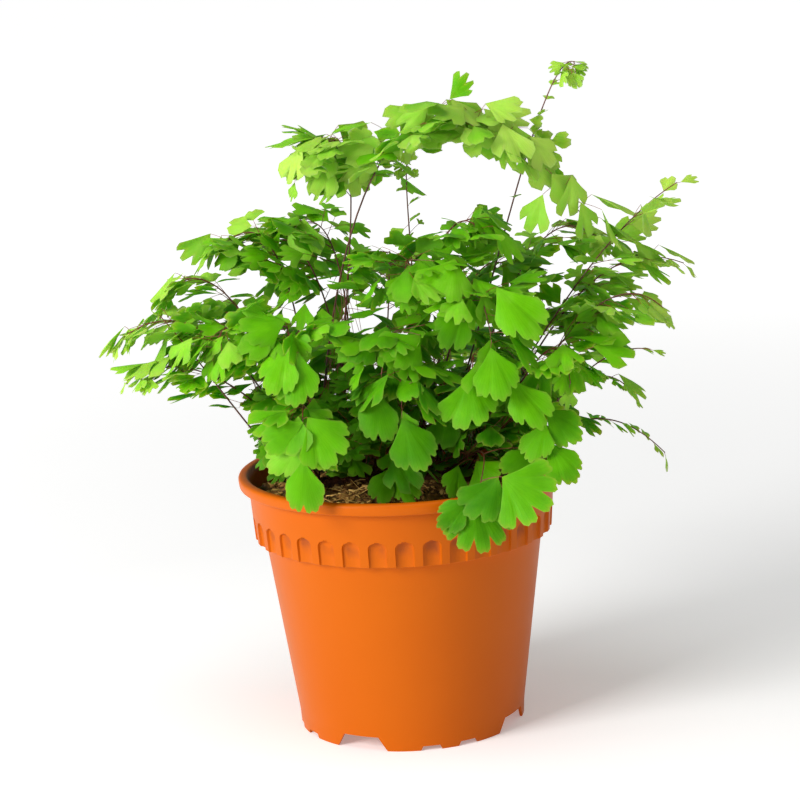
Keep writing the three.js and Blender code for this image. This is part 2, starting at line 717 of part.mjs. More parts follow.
const boxed = (solid, frond) => ({ solid, box: solid.boundingBox(), frond });

function boxesMeet(a, b, margin) {
  return [0, 1, 2].every((k) => a.min[k] < b.max[k] + margin && b.min[k] < a.max[k] + margin);
}

function isClear(solid, others, clearance) {
  const box = solid.boundingBox();
  const near = others.filter((other) => boxesMeet(box, other.box, clearance));
  return near.every((other) => solid.minGap(other.solid, clearance) >= clearance);
}

const fronds = [...rooted(FRONT_RANK, -1), ...rooted([...BACK_RANK, ...backFronds()], 1)];
const potSolid = pot();
const mixSolid = pottingMix();
const rhizomeSolid = rhizomeTube(RHIZOME_RADIUS).subtract(wasm.Manifold.union(fronds.map(stemHole)));

const base = [potSolid, mixSolid, rhizomeSolid].map((solid) => boxed(solid));
const grown = []; // every stem, branch and leaflet so far
for (const frond of fronds) {
  frond.solids = [stemSolid(frond)];
  grown.push(boxed(frond.solids[0], frond));
}

function othersThan(frond) {
  return [...base, ...grown.filter((part) => part.frond !== frond)];
}

function addSpray(frond, spray) {
  const own = grown.filter((part) => part.frond === frond);
  const others = othersThan(frond);
  for (const pose of POSES) {
    const whole = spraySolid(spray, pose, 0);
    if (!isClear(whole, others, FROND_CLEARANCE)) continue;
    const outer = spraySolid(spray, pose, CLEAR_OF_STEM);
    if (!isClear(outer, own, SIBLING_CLEARANCE)) continue;
    frond.solids.push(whole);
    grown.push(boxed(outer, frond));
    return true;
  }
  return false;
}

fronds.forEach((frond, index) => {
  frond.fans.forEach((fan, i) => {
    const leaflet = frondFan(frond, fan, index * 100 + 90 + i);
    const stalk = tubeAlong(new THREE.LineCurve3(leaflet.joint, leaflet.root), BRANCH_RADIUS, 3, 1);
    frond.solids.push(stalk);
    grown.push(boxed(stalk, frond));
    addSpray(frond, leaflet);
  });
});
fronds.forEach((frond, index) => {
  for (let i = 0; i < frond.nodes; i++) {
    const spray = frondSpray(frond, index, i);
    if (!addSpray(frond, spray)) addSpray(frond, { ...spray, stalk: 0 });
  }
});

// ---------------------------------------------------------------- assembly

const fern = new THREE.Group();

function place(name, solid, material) {
  const mesh = new THREE.Mesh(geometryOf(solid), material);
  mesh.name = name;
  fern.add(mesh);
}

place("pot", potSolid, ORANGE_PLASTIC);
place("potting_mix", mixSolid, POTTING_MIX);
place("rhizome", rhizomeSolid, RHIZOME_SCALES);
for (const frond of fronds) place(`frond_${frond.name}`, wasm.Manifold.union(frond.solids), FROND_GREEN);

// The origin is under the middle of the whole plant, on the surface that it stands on.
const reach = new THREE.Box3().setFromObject(fern);
const middle = reach.getCenter(new THREE.Vector3());
fern.position.set(-middle.x, -middle.y, -reach.min.z);

export default fern;
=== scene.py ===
# %% [markdown]
# # A potted maidenhair fern
# A maidenhair fern grows from a creeping rootstock. Wiry, nearly black stems rise from it, arch over and
# carry thin fan-shaped leaflets with lobed edges. This one stands in an orange nursery pot.
# The solids of the pot and of each frond are loaded first. Every finer piece below takes their place, so all
# sizes are those of the loaded frame.

# %% Load the frame
import math
import random
from contextlib import contextmanager

import bmesh
import bpy
import numpy as np
from mathutils import Matrix, Vector
from mathutils import noise
from mathutils.kdtree import KDTree


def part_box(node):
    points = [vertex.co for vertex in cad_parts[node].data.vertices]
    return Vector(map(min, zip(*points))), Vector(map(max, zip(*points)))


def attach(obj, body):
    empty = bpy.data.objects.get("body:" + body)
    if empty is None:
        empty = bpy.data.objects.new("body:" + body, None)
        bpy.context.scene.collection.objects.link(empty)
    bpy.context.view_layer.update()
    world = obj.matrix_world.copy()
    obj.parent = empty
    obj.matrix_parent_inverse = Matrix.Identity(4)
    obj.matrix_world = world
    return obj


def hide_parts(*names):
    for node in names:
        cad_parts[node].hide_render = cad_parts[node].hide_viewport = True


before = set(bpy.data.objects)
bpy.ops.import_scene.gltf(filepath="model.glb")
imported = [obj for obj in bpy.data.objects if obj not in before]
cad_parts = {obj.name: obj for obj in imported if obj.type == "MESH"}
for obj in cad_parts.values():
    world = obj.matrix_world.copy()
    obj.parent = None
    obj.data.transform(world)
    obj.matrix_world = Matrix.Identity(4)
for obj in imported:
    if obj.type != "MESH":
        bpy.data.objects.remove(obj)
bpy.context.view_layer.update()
MM = 0.001

pot_low, pot_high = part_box("pot")
POT_AXIS = Vector(((pot_low.x + pot_high.x) / 2, (pot_low.y + pot_high.y) / 2, 0))
print(f"{len(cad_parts)} solids, pot {1000 * (pot_high.x - pot_low.x):.0f} mm wide")

# %% [markdown]
# ## Places in millimetres from the pot's axis
# A plant is easiest to describe from the middle of its pot, in millimetres. One function turns such a place
# into Blender's metres in the shared frame, and another goes back.


# %% Two ways between millimetres and the frame
def in_frame(place):
    return Vector(place) * MM + POT_AXIS


def in_millimetres(point):
    return (point - POT_AXIS) / MM


# %% [markdown]
# ## Small helpers for node trees
# Both shaders and Geometry Nodes are trees of nodes. Building them in code needs the same three steps each
# time: make a node, set its inputs, link sockets. One helper does all three and keeps the trees readable.


# %% Node helpers
def give(tree, socket, value):
    """Links another node's socket to this one, or sets this one to a plain value."""
    if isinstance(value, bpy.types.NodeSocket):
        tree.links.new(value, socket)
    else:
        socket.default_value = value


def add_node(tree, kind, inputs=None, **settings):
    """A new node. Each input is a socket to link from, or a plain value."""
    node = tree.nodes.new(kind)
    for name, value in settings.items():
        setattr(node, name, value)
    for name, value in (inputs or {}).items():
        give(tree, node.inputs[name], value)
    return node


def blend_colours(tree, share, first, second):
    """The colour that goes from the first to the second as share goes from 0 to 1."""
    mix = add_node(tree, "ShaderNodeMix", {0: share, 6: first, 7: second}, data_type="RGBA")
    return mix.outputs[2]


def arithmetic(tree, operation, *values, clamp=False):
    inputs = dict(enumerate(values))
    return add_node(tree, "ShaderNodeMath", inputs, operation=operation, use_clamp=clamp).outputs[0]


def blend_three(tree, share, first, middle, last):
    """The colour that goes from the first by way of the middle one to the last."""
    lower = arithmetic(tree, "MULTIPLY", share, 2.0, clamp=True)
    upper = arithmetic(tree, "MULTIPLY_ADD", share, 2.0, -1.0, clamp=True)
    return blend_colours(tree, upper, blend_colours(tree, lower, first, middle), last)


def rgb(red, green, blue):
    """A colour as it is seen on a screen, 0 to 255, turned into the linear values that shaders use."""
    def linear(value):
        share = value / 255
        return share / 12.92 if share <= 0.04045 else ((share + 0.055) / 1.055) ** 2.4

    return (linear(red), linear(green), linear(blue), 1)


def shader_group(name, inputs, outputs):
    """An empty shader node group with its sockets, and its two end nodes."""
    tree = bpy.data.node_groups.new(name, "ShaderNodeTree")
    for socket, kind, value in inputs:
        made = tree.interface.new_socket(socket, in_out="INPUT", socket_type=kind)
        if value is not None:
            made.default_value = value
    for socket, kind in outputs:
        tree.interface.new_socket(socket, in_out="OUTPUT", socket_type=kind)
    return tree, tree.nodes.new("NodeGroupInput"), tree.nodes.new("NodeGroupOutput")


# %% [markdown]
# ## Two effects that several finishes share
# Nothing on a plant or a used pot has one even colour. `patches` gives soft blotches between 0 and 1, and
# `grain` gives the fine unevenness that breaks up a highlight. Each is a node group, built once and placed in
# every material with its own scale.


# %% Shader groups: patches and grain
def cloud_noise(tree, given, detail):
    inputs = {"Vector": given.outputs["Place"], "Scale": given.outputs["Scale"], "Detail": detail}
    return add_node(tree, "ShaderNodeTexNoise", inputs).outputs["Fac"]


def patches_group():
    tree, given, result = shader_group(
        "patches",
        [
            ("Place", "NodeSocketVector", None), ("Scale", "NodeSocketFloat", 40.0),
            ("Contrast", "NodeSocketFloat", 2.0),
        ],
        [("Mask", "NodeSocketFloat")],
    )
    cloud = cloud_noise(tree, given, 4.0)
    centred = arithmetic(tree, "SUBTRACT", cloud, 0.5)
    spread = arithmetic(tree, "MULTIPLY", centred, given.outputs["Contrast"])
    tree.links.new(arithmetic(tree, "ADD", spread, 0.5, clamp=True), result.inputs["Mask"])
    return tree


def grain_group():
    tree, given, result = shader_group(
        "grain",
        [("Place", "NodeSocketVector", None), ("Scale", "NodeSocketFloat", 900.0)],
        [("Height", "NodeSocketFloat")],
    )
    tree.links.new(cloud_noise(tree, given, 2.0), result.inputs["Height"])
    return tree


PATCHES = patches_group()
GRAIN = grain_group()

# %% [markdown]
# A finish starts from a material's Principled shader. What recurs in several of them is placed by a function:
# a group, a value that the mesh stores, a tone that varies, relief and roughness.


# %% Helpers for materials
def place_group(tree, group, **inputs):
    return add_node(tree, "ShaderNodeGroup", inputs, node_tree=group).outputs[0]


def new_material(name, **constants):
    """A material with its Principled shader. Constants are set on the shader's own sockets."""
    material = bpy.data.materials.new(name)
    material.use_nodes = True
    tree = material.node_tree
    shader = tree.nodes["Principled BSDF"]
    for socket, value in constants.items():
        shader.inputs[socket.replace("_", " ")].default_value = value
    return material, tree, shader


def object_place(tree):
    return tree.nodes.new("ShaderNodeTexCoord").outputs["Object"]


def attribute(tree, name):
    return add_node(tree, "ShaderNodeAttribute", attribute_name=name).outputs["Fac"]


def vary(tree, tone, mask, amount):
    """The tone, raised and lowered by the mask's patches."""
    return arithmetic(tree, "MULTIPLY_ADD", arithmetic(tree, "SUBTRACT", mask, 0.5), amount, tone)


def add_relief(tree, shader, height, strength, distance):
    """Relief from a height between 0 and 1, which stands for so many metres."""
    relief = add_node(tree, "ShaderNodeBump", {"Strength": strength, "Distance": distance, "Height": height})
    tree.links.new(relief.outputs["Normal"], shader.inputs["Normal"])


def add_roughness(tree, shader, mask, gain, least):
    rough = arithmetic(tree, "MULTIPLY_ADD", mask, gain, least)
    tree.links.new(rough, shader.inputs["Roughness"])


# %% [markdown]
# ## Finish: moulded orange plastic
# The pot is dyed polypropylene: one orange all through, a soft broad highlight, and a faint orange-peel skin
# from the mould. Handling leaves slightly duller patches, and watering leaves a little mix on the inside.
# Colour comes from two oranges blended by soft patches, and the skin is a weak bump.

# %% Orange plastic
POT_ORANGE = rgb(202, 97, 2)
POT_ORANGE_WORN = rgb(196, 91, 2)
POT_SOILED = rgb(150, 70, 28)


def orange_plastic():
    material, tree, shader = new_material("moulded_orange_plastic", Specular_IOR_Level=0.12, IOR=1.49)
    place = object_place(tree)
    broad = place_group(tree, PATCHES, Place=place, Scale=14.0, Contrast=1.6)
    colour = blend_colours(tree, broad, POT_ORANGE, POT_ORANGE_WORN)
    smudge = place_group(tree, PATCHES, Place=place, Scale=90.0, Contrast=3.0)
    soiled = arithmetic(tree, "MULTIPLY", attribute(tree, "soiled"), smudge)
    tree.links.new(blend_colours(tree, soiled, colour, POT_SOILED), shader.inputs["Base Color"])
    add_roughness(tree, shader, broad, gain=0.1, least=0.36)
    skin = place_group(tree, GRAIN, Place=place, Scale=700.0)
    add_relief(tree, shader, skin, strength=0.12, distance=0.0002)
    return material


ORANGE_PLASTIC = orange_plastic()

# %% [markdown]
# ## Finish: leaflets
# A maidenhair leaflet is thinner than paper, so light glows through it, and subsurface scattering does that
# here. Its veins fan out from the root and fork on the way, which one fork stands for. The leaflet's own UV
# map gives the angle across the fan and the distance from its root, so both the veins and the paler rim
# follow each leaflet. An attribute named `tone` goes from dark green to yellow green. It says how young a
# leaflet is, and it also carries painted light and shade: brighter high up and towards the edge of the
# foliage, darker low in the middle.

# %% Leaf green
# From old and shaded to young and lit: the darkest green is partly painted shade, the brightest partly
# painted light.
LEAF_OLD_AND_SHADED = rgb(54, 119, 3)
LEAF_GROWN = rgb(103, 180, 5)
LEAF_YOUNG_AND_LIT = rgb(170, 214, 80)
LEAF_UNDERSIDE = rgb(150, 186, 96)
VEINS_AT_ROOT = 11.0
FORK_AT = 0.52  # of the way from the root to the edge
VEIN_SHARE = 0.1  # how much darker a vein is, and how much paler the rim


def leaf_green():
    material, tree, shader = new_material(
        "leaf_green",
        Specular_IOR_Level=0.1,
        Subsurface_Weight=0.35,
        Subsurface_Radius=(0.5, 1.0, 0.12),
        Subsurface_Scale=0.0016,
    )
    place = object_place(tree)
    under = attribute(tree, "under")
    blotch = place_group(tree, PATCHES, Place=place, Scale=120.0, Contrast=1.5)
    tone = vary(tree, attribute(tree, "tone"), blotch, 0.24)
    colour = blend_three(tree, tone, LEAF_OLD_AND_SHADED, LEAF_GROWN, LEAF_YOUNG_AND_LIT)

    fan = add_node(tree, "ShaderNodeSeparateXYZ", {0: tree.nodes.new("ShaderNodeUVMap").outputs["UV"]})
    across, outwards = fan.outputs["X"], fan.outputs["Y"]

    def veins(count):
        phase = arithmetic(tree, "FRACT", arithmetic(tree, "MULTIPLY", across, count))
        ridge = arithmetic(tree, "ABSOLUTE", arithmetic(tree, "SUBTRACT", phase, 0.5))
        return arithmetic(tree, "MULTIPLY_ADD", ridge, -6.0, 1.0, clamp=True)

    forked = arithmetic(tree, "GREATER_THAN", outwards, FORK_AT)
    inner = arithmetic(tree, "MULTIPLY", veins(VEINS_AT_ROOT), arithmetic(tree, "SUBTRACT", 1.0, forked))
    outer = arithmetic(tree, "MULTIPLY", veins(2 * VEINS_AT_ROOT), forked)
    vein = arithmetic(tree, "ADD", inner, outer, clamp=True)
    rim = arithmetic(tree, "MULTIPLY_ADD", outwards, 8.0, -7.3, clamp=True)
    for mask, share, tint in (
        (vein, VEIN_SHARE, LEAF_OLD_AND_SHADED), (under, 0.15, LEAF_UNDERSIDE), (rim, VEIN_SHARE, LEAF_YOUNG_AND_LIT),
    ):
        colour = blend_colours(tree, arithmetic(tree, "MULTIPLY", mask, share), colour, tint)
    tree.links.new(colour, shader.inputs["Base Color"])
    add_roughness(tree, shader, under, gain=0.15, least=0.48)
    add_relief(tree, shader, vein, strength=0.15, distance=0.0002)
    return material


LEAF_GREEN = leaf_green()

# %% [markdown]
# ## Finish: stems, rootstock and potting mix
# Grown stems are a polished brown-black, and the thin young ends are redder and paler, so the colour follows
# an attribute named `young`. The rootstock wears dry brown scales. The mix is dark where wet and golden where
# a piece of bark or coir has dried, chosen by each chip's own `tone`.

# %% Stem, rootstock and mix finishes
STEM_DARK = rgb(38, 20, 14)
STEM_RED = rgb(142, 66, 36)
SCALE_BROWN = rgb(92, 52, 26)
SCALE_PALE = rgb(140, 92, 50)
MIX_WET = rgb(56, 38, 20)
MIX_BROWN = rgb(152, 106, 50)
MIX_GOLD = rgb(222, 180, 100)


def stem_finish():
    material, tree, shader = new_material("stem_dark", Specular_IOR_Level=0.6)
    place = object_place(tree)
    band = place_group(tree, PATCHES, Place=place, Scale=160.0, Contrast=2.0)
    share = arithmetic(tree, "MULTIPLY_ADD", band, 0.3, attribute(tree, "young"), clamp=True)
    tree.links.new(blend_colours(tree, share, STEM_DARK, STEM_RED), shader.inputs["Base Color"])
    add_roughness(tree, shader, band, gain=0.2, least=0.28)
    ridges = place_group(tree, GRAIN, Place=place, Scale=1500.0)
    add_relief(tree, shader, ridges, strength=0.2, distance=0.0001)
    return material


def crumbly(name, dark, middle, light, roughness):
    """A dry or damp organic finish in three browns, with coarse and fine relief."""
    material, tree, shader = new_material(name, Specular_IOR_Level=0.25)
    place = object_place(tree)
    clods = place_group(tree, PATCHES, Place=place, Scale=260.0, Contrast=3.0)
    mixed = vary(tree, attribute(tree, "tone"), clods, 0.5)
    tree.links.new(blend_three(tree, mixed, dark, middle, light), shader.inputs["Base Color"])
    add_roughness(tree, shader, clods, gain=0.15, least=roughness)
    crumbs = place_group(tree, GRAIN, Place=place, Scale=1400.0)
    add_relief(tree, shader, crumbs, strength=0.6, distance=0.0004)
    return material


STEM_FINISH = stem_finish()
ROOTSTOCK_FINISH = crumbly("rootstock_scales", STEM_DARK, SCALE_BROWN, SCALE_PALE, 0.7)
MIX_FINISH = crumbly("bark_and_coir", MIX_WET, MIX_BROWN, MIX_GOLD, 0.75)
print("finishes:", ", ".join(m.name for m in bpy.data.materials))

# %% [markdown]
# ## From a Geometry Nodes tree to a finished piece
# A modifier holds the tree while it is set up. The evaluated object then gives a plain mesh, the modifier
# goes and the mesh stays at the origin, unturned and unscaled. Every piece rides on the plant's one body, and
# the solid that it stands for is hidden.


# %% Helpers for meshes
def mesh_from(name, points, faces=(), edges=()):
    mesh = bpy.data.meshes.new(name)
    mesh.from_pydata([tuple(p) for p in points], list(edges), list(faces))
    mesh.update()
    return mesh


def attach_values(mesh, name, values, kind="FLOAT"):
    """Stores one number, or one vector, for each vertex."""
    attribute = mesh.attributes.new(name, kind, "POINT")
    field = "vector" if kind == "FLOAT_VECTOR" else "value"
    attribute.data.foreach_set(field, np.asarray(values).ravel())


@contextmanager
def editing(mesh):
    """A mesh opened for editing, and written back afterwards."""
    shape = bmesh.new()
    shape.from_mesh(mesh)
    yield shape
    shape.to_mesh(mesh)
    shape.free()


def smooth_up_to(mesh, degrees):
    """Smooth shading, with an edge kept sharp where its faces turn by more than so many degrees."""
    with editing(mesh) as shape:
        for face in shape.faces:
            face.smooth = True
        for edge in shape.edges:
            edge.smooth = len(edge.link_faces) == 2 and edge.calc_face_angle(0) < math.radians(degrees)


def add_object(name, data):
    made = bpy.data.objects.new(name, data)
    bpy.context.scene.collection.objects.link(made)
    return made


# %% [markdown]
# Every tree takes geometry, a few values and a finish, and gives geometry back. The trees for litter and
# leaflets both set copies from a collection on points.


# %% Helpers for trees and pieces
def geometry_tree(name, inputs):
    tree = bpy.data.node_groups.new(name, "GeometryNodeTree")
    tree.interface.new_socket("Geometry", in_out="INPUT", socket_type="NodeSocketGeometry")
    for socket, kind in inputs:
        tree.interface.new_socket(socket, in_out="INPUT", socket_type=kind)
    tree.interface.new_socket("Geometry", in_out="OUTPUT", socket_type="NodeSocketGeometry")
    return tree, tree.nodes.new("NodeGroupInput"), tree.nodes.new("NodeGroupOutput")


def end_tree(tree, geometry, given, result):
    """The end of every tree here: its geometry takes the finish that was given."""
    inputs = {"Geometry": geometry, "Material": given.outputs["Finish"]}
    dressed = add_node(tree, "GeometryNodeSetMaterial", inputs)
    tree.links.new(dressed.outputs[0], result.inputs[0])


def copies_on_points(tree, given, points, which, rotation, scale):
    """One of the given kinds on each point, turned and scaled."""
    inputs = {"Collection": given.outputs["Kinds"], "Separate Children": True, "Reset Children": True}
    kinds = add_node(tree, "GeometryNodeCollectionInfo", inputs)
    inputs = {
        "Points": points, "Instance": kinds.outputs[0], "Pick Instance": True, "Instance Index": which,
        "Rotation": rotation, "Scale": scale,
    }
    return add_node(tree, "GeometryNodeInstanceOnPoints", inputs).outputs[0]


def grow(name, mesh, tree, **values):
    """Runs a tree on a mesh and returns the result as a plain mesh object."""
    holder = add_object(name, mesh)
    modifier = holder.modifiers.new("grow", "NODES")
    modifier.node_group = tree
    identifiers = {item.name: item.identifier for item in tree.interface.items_tree if item.in_out == "INPUT"}
    for socket, value in values.items():
        modifier[identifiers[socket.replace("_", " ")]] = value
    return settle(holder)


def settle(holder):
    """Replaces an object's live modifiers by the mesh that they make."""
    evaluated = holder.evaluated_get(bpy.context.evaluated_depsgraph_get())
    made = bpy.data.meshes.new_from_object(evaluated)
    holder.modifiers.clear()
    holder.data = made
    return holder


def finish_piece(piece, node):
    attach(piece, "root")
    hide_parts(node)
    return piece


# %% [markdown]
# ## The pot: one flute's share of the wall
# The pot has 36 equal flutes in the band under its lip, so ten degrees of wall, from the middle of the floor
# over the rim and back under the base, hold all there is to draw. The profile is a short list of corners,
# each rounded by its own radius as a mould is. In the band, the columns of the mesh follow the arch of the
# flute, so that its edge is crisp with few faces.

# %% Pot profile
POT_HEIGHT = 136
FLOOR_TOP = 10
BASE_UNDERSIDE = 8
BAND_FOOT_Z = 102
LIP_FOOT_Z = 130
BAND_FOOT_RADIUS = 77.5
BAND_TOP_RADIUS = 79.6

# radius, height and rounding of each corner
INSIDE_CORNERS = [
    (0, FLOOR_TOP, 0), (58.4, FLOOR_TOP, 3), (70.7, 102.6, 1.5), (75, 103.6, 1.2), (78.2, 133, 1.5),
    (80.2, POT_HEIGHT, 1.2),
]
LIP_CORNERS = [(85, POT_HEIGHT, 2.6), (84.3, LIP_FOOT_Z, 1.1), (BAND_TOP_RADIUS, LIP_FOOT_Z, 0.9)]
BODY_CORNERS = [
    (BAND_FOOT_RADIUS, BAND_FOOT_Z, 0.6), (72.3, 101, 0.9), (59.6, BASE_UNDERSIDE, 1.5), (59.1, 0, 0.5),
    (57.6, 0, 0.4), (57.6, BASE_UNDERSIDE, 0.8), (0, BASE_UNDERSIDE, 0),
]
ROUNDING_STEPS = 4


def rounded(corners):
    """The corners as a smooth line: each gives way to a short arc that starts and ends a radius away."""
    line = []
    for i, (radius, height, rounding) in enumerate(corners):
        here = Vector((radius, height))
        if rounding == 0:
            line.append(here)
            continue
        before = Vector(corners[i - 1][:2]) - here
        after = Vector(corners[i + 1][:2]) - here
        start = here + before.normalized() * min(rounding, before.length / 2)
        end = here + after.normalized() * min(rounding, after.length / 2)
        for step in range(ROUNDING_STEPS + 1):
            t = step / ROUNDING_STEPS
            line.append(start * (1 - t) ** 2 + here * 2 * t * (1 - t) + end * t * t)
    return line


# %% [markdown]
# The rows of the band are set where the flute changes: straight sides up to the spring line, then even steps
# round its arch.

# %% Rows of the pot
FLUTES = 36
FLUTE_HALF_WIDTH = 4.5
FLUTE_ARCH = 3.9
FLUTE_SPRING_Z = BAND_FOOT_Z + 13 - FLUTE_ARCH
FLUTE_DEPTH = 1.7
FLUTE_EDGE = 0.16  # half the width of the sloping wall of a flute
ARCH_TURNS_DEG = [12, 26, 40, 54, 68, 80]
FULLNESS = 0.8  # 1 is an ellipse, and less is a squarer arch
FLUTE_FOOT_ROWS = (0.9, 4)  # above the band's foot
PLAIN_ROWS_Z = (126, 121)  # in the plain wall over the arches
ARCH_MARGIN = 0.4  # from the top of an arch to the first plain row
BAND_MIDDLE_Z = 115


def pot_rows():
    """(radius, height, half width of the flute, whether it is sunk) from the floor's middle to the base's."""
    line = rounded(INSIDE_CORNERS + LIP_CORNERS + BODY_CORNERS)
    band = [*(BAND_FOOT_Z + rise for rise in FLUTE_FOOT_ROWS), FLUTE_SPRING_Z]
    arch = [FLUTE_SPRING_Z + FLUTE_ARCH * math.sin(math.radians(turn)) ** FULLNESS for turn in ARCH_TURNS_DEG]
    widths = {height: FLUTE_HALF_WIDTH for height in band}
    for height, turn in zip(arch, ARCH_TURNS_DEG):
        widths[height] = FLUTE_HALF_WIDTH * math.cos(math.radians(turn)) ** FULLNESS
    above_arch = FLUTE_SPRING_Z + FLUTE_ARCH + ARCH_MARGIN
    rows = []
    for i, point in enumerate(line):
        rows.append((point.x, point.y, FLUTE_HALF_WIDTH, is_band_foot(point)))
        onward = line[min(i + 1, len(line) - 1)]
        if point.y > BAND_MIDDLE_Z > onward.y and point.x > BAND_FOOT_RADIUS:
            for height in [*PLAIN_ROWS_Z, above_arch, *reversed(arch), *reversed(band)]:
                share = (height - BAND_FOOT_Z) / (LIP_FOOT_Z - BAND_FOOT_Z)
                radius = BAND_FOOT_RADIUS + (BAND_TOP_RADIUS - BAND_FOOT_RADIUS) * share
                width = widths[arch[-1]] if height == above_arch else widths.get(height, FLUTE_HALF_WIDTH)
                rows.append((radius, height, width, height in widths))
    return rows


def is_band_foot(point):
    return abs(point.y - BAND_FOOT_Z) < 0.7 and point.x > BAND_FOOT_RADIUS - 2 * FLUTE_DEPTH


# %% [markdown]
# A sector's columns lie close together at the sloping walls of its flute. Where a row is sunk, the columns
# inside the flute are set back, most in the middle.

# %% One sector
FLUTE_BACK_SLOPE = 0.05  # how far the back of a flute leans out for each millimetre up


def flute_reach(radius, height, width, offset):
    """The radius inside a flute: deepest in its middle, and shallower where the arch narrows."""
    scoop = 0.7 + 0.3 * width / FLUTE_HALF_WIDTH
    hollow = FLUTE_DEPTH * scoop * (1.1 - 0.5 * (offset / width) ** 2)
    return min(radius, BAND_FOOT_RADIUS + (height - BAND_FOOT_Z) * FLUTE_BACK_SLOPE - hollow)


def sector_mesh():
    edge = math.pi / FLUTES * BAND_FOOT_RADIUS
    points = []
    for radius, height, width, fluted in pot_rows():
        outer, foot = width + FLUTE_EDGE, max(width - FLUTE_EDGE, 0.1)
        half = [foot / 2, foot, outer, (edge + outer) / 2, edge]
        offsets = [*(-offset for offset in reversed(half)), 0, *half]
        for offset in offsets:
            sunk = fluted and abs(offset) < width
            reach = flute_reach(radius, height, width, offset) if sunk else radius
            turn = offset / BAND_FOOT_RADIUS
            points.append((reach * MM * math.sin(turn), -reach * MM * math.cos(turn), height * MM))
    columns = len(offsets)
    faces = []
    for row in range(len(points) // columns - 1):
        for column in range(columns - 1):
            low = row * columns + column
            faces.append((low, low + columns, low + columns + 1, low + 1))
    return mesh_from("pot_sector", points, faces)


# %% [markdown]
# A Geometry Nodes tree sets copies of the sector round the axis and merges the seams. The number of flutes is
# an input, so the same tree would serve a pot with any other count.


# %% Ring of sectors
SEAM = 0.02 * MM  # points of two sectors that lie closer are one


def ring_tree():
    tree, given, result = geometry_tree(
        "ring_of_sectors",
        [("Count", "NodeSocketInt"), ("Axis", "NodeSocketVector"), ("Finish", "NodeSocketMaterial")],
    )
    inputs = {"Count": given.outputs["Count"], "Position": given.outputs["Axis"]}
    spots = add_node(tree, "GeometryNodePoints", inputs)
    number = tree.nodes.new("GeometryNodeInputIndex").outputs[0]
    turns = arithmetic(tree, "MULTIPLY", number, 2 * math.pi)
    turn = arithmetic(tree, "DIVIDE", turns, given.outputs["Count"])
    angles = add_node(tree, "ShaderNodeCombineXYZ", {"Z": turn})
    rotation = add_node(tree, "FunctionNodeEulerToRotation", {0: angles.outputs[0]})
    inputs = {
        "Points": spots.outputs[0], "Instance": given.outputs["Geometry"], "Rotation": rotation.outputs[0],
    }
    copies = add_node(tree, "GeometryNodeInstanceOnPoints", inputs)
    real = add_node(tree, "GeometryNodeRealizeInstances", {"Geometry": copies.outputs[0]})
    merged = add_node(tree, "GeometryNodeMergeByDistance", {"Geometry": real.outputs[0], "Distance": SEAM})
    end_tree(tree, merged.outputs[0], given, result)
    return tree


# %% [markdown]
# ## The pot's feet and drain holes
# The ring under the base is cut into feet by four deep and eight shallow notches, so that water can leave.
# They aren't in step with the flutes, so they are cut afterwards, by one Boolean with all the cutters in one
# mesh.

# %% Notch and hole cutters
FOOT_RADIUS = 59.6
FIRST_NOTCH_DEG = -27.5  # from the front, towards +X
DEEP_NOTCH = (24, 7.4)  # width in degrees and height
SHALLOW_NOTCH = (10, 2.4)
SHALLOW_OFFSETS_DEG = (36, 55.5)
DRAIN_HOLES = 6
DRAIN_CIRCLE = 40
DRAIN_RADIUS = 4
CUTTER_REACH = (50, 64)  # a notch's cutter lies across the ring, from one radius to the other
BLOCK_FACES = [(0, 1, 2, 3), (7, 6, 5, 4), (0, 4, 5, 1), (1, 5, 6, 2), (2, 6, 7, 3), (3, 7, 4, 0)]


def notch_block(shape, notch, turn_deg):
    width, height = notch
    foot = FOOT_RADIUS * math.sin(math.radians(width / 2))
    splay = 0.35 * height
    outline = [(-foot - splay, -1), (foot + splay, -1), (foot - splay, height), (-foot + splay, height)]
    turned = Matrix.Rotation(math.radians(turn_deg), 3, "Z")
    corners = [turned @ Vector((x, -reach, z)) for reach in CUTTER_REACH for x, z in outline]
    verts = [shape.verts.new(in_frame(corner)) for corner in corners]
    for face in BLOCK_FACES:
        shape.faces.new([verts[i] for i in face])


def cutters():
    mesh = bpy.data.meshes.new("cutters")
    with editing(mesh) as shape:
        for quarter in range(4):
            turn = FIRST_NOTCH_DEG + 90 * quarter
            notch_block(shape, DEEP_NOTCH, turn)
            for offset in SHALLOW_OFFSETS_DEG:
                notch_block(shape, SHALLOW_NOTCH, turn + offset)
        for i in range(DRAIN_HOLES):
            turn = 2 * math.pi * i / DRAIN_HOLES
            spot = in_frame((DRAIN_CIRCLE * math.cos(turn), DRAIN_CIRCLE * math.sin(turn), FLOOR_TOP - 1))
            bmesh.ops.create_cone(
                shape, cap_ends=True, segments=24, radius1=DRAIN_RADIUS * MM, radius2=DRAIN_RADIUS * MM,
                depth=8 * MM, matrix=Matrix.Translation(spot),
            )
        bmesh.ops.recalc_face_normals(shape, faces=shape.faces)
    return mesh


# %% [markdown]
# Watering splashes some mix on the inside of the wall, so the pot carries an attribute that is 1 there and
# fades out towards the lip. A Boolean leaves points almost on top of each other, which are merged first.

# %% The pot as a finished piece
SPLASH_LOW_Z = 110
SPLASH_FADE_Z = 120
SPLASH_FADE = 12  # how far up the splashes fade out
NEARLY_ONE = 0.01 * MM


def splashes(place):
    """How soiled the pot is at a place: only on the inside of its wall."""
    wall = 77 + (place.z - 118) * 0.1  # a little more than the inside's own radius at that height
    if math.hypot(place.x, place.y) >= wall or place.z <= SPLASH_LOW_Z:
        return 0.0
    return 1.0 - min(1.0, max(0.0, (place.z - SPLASH_FADE_Z) / SPLASH_FADE))


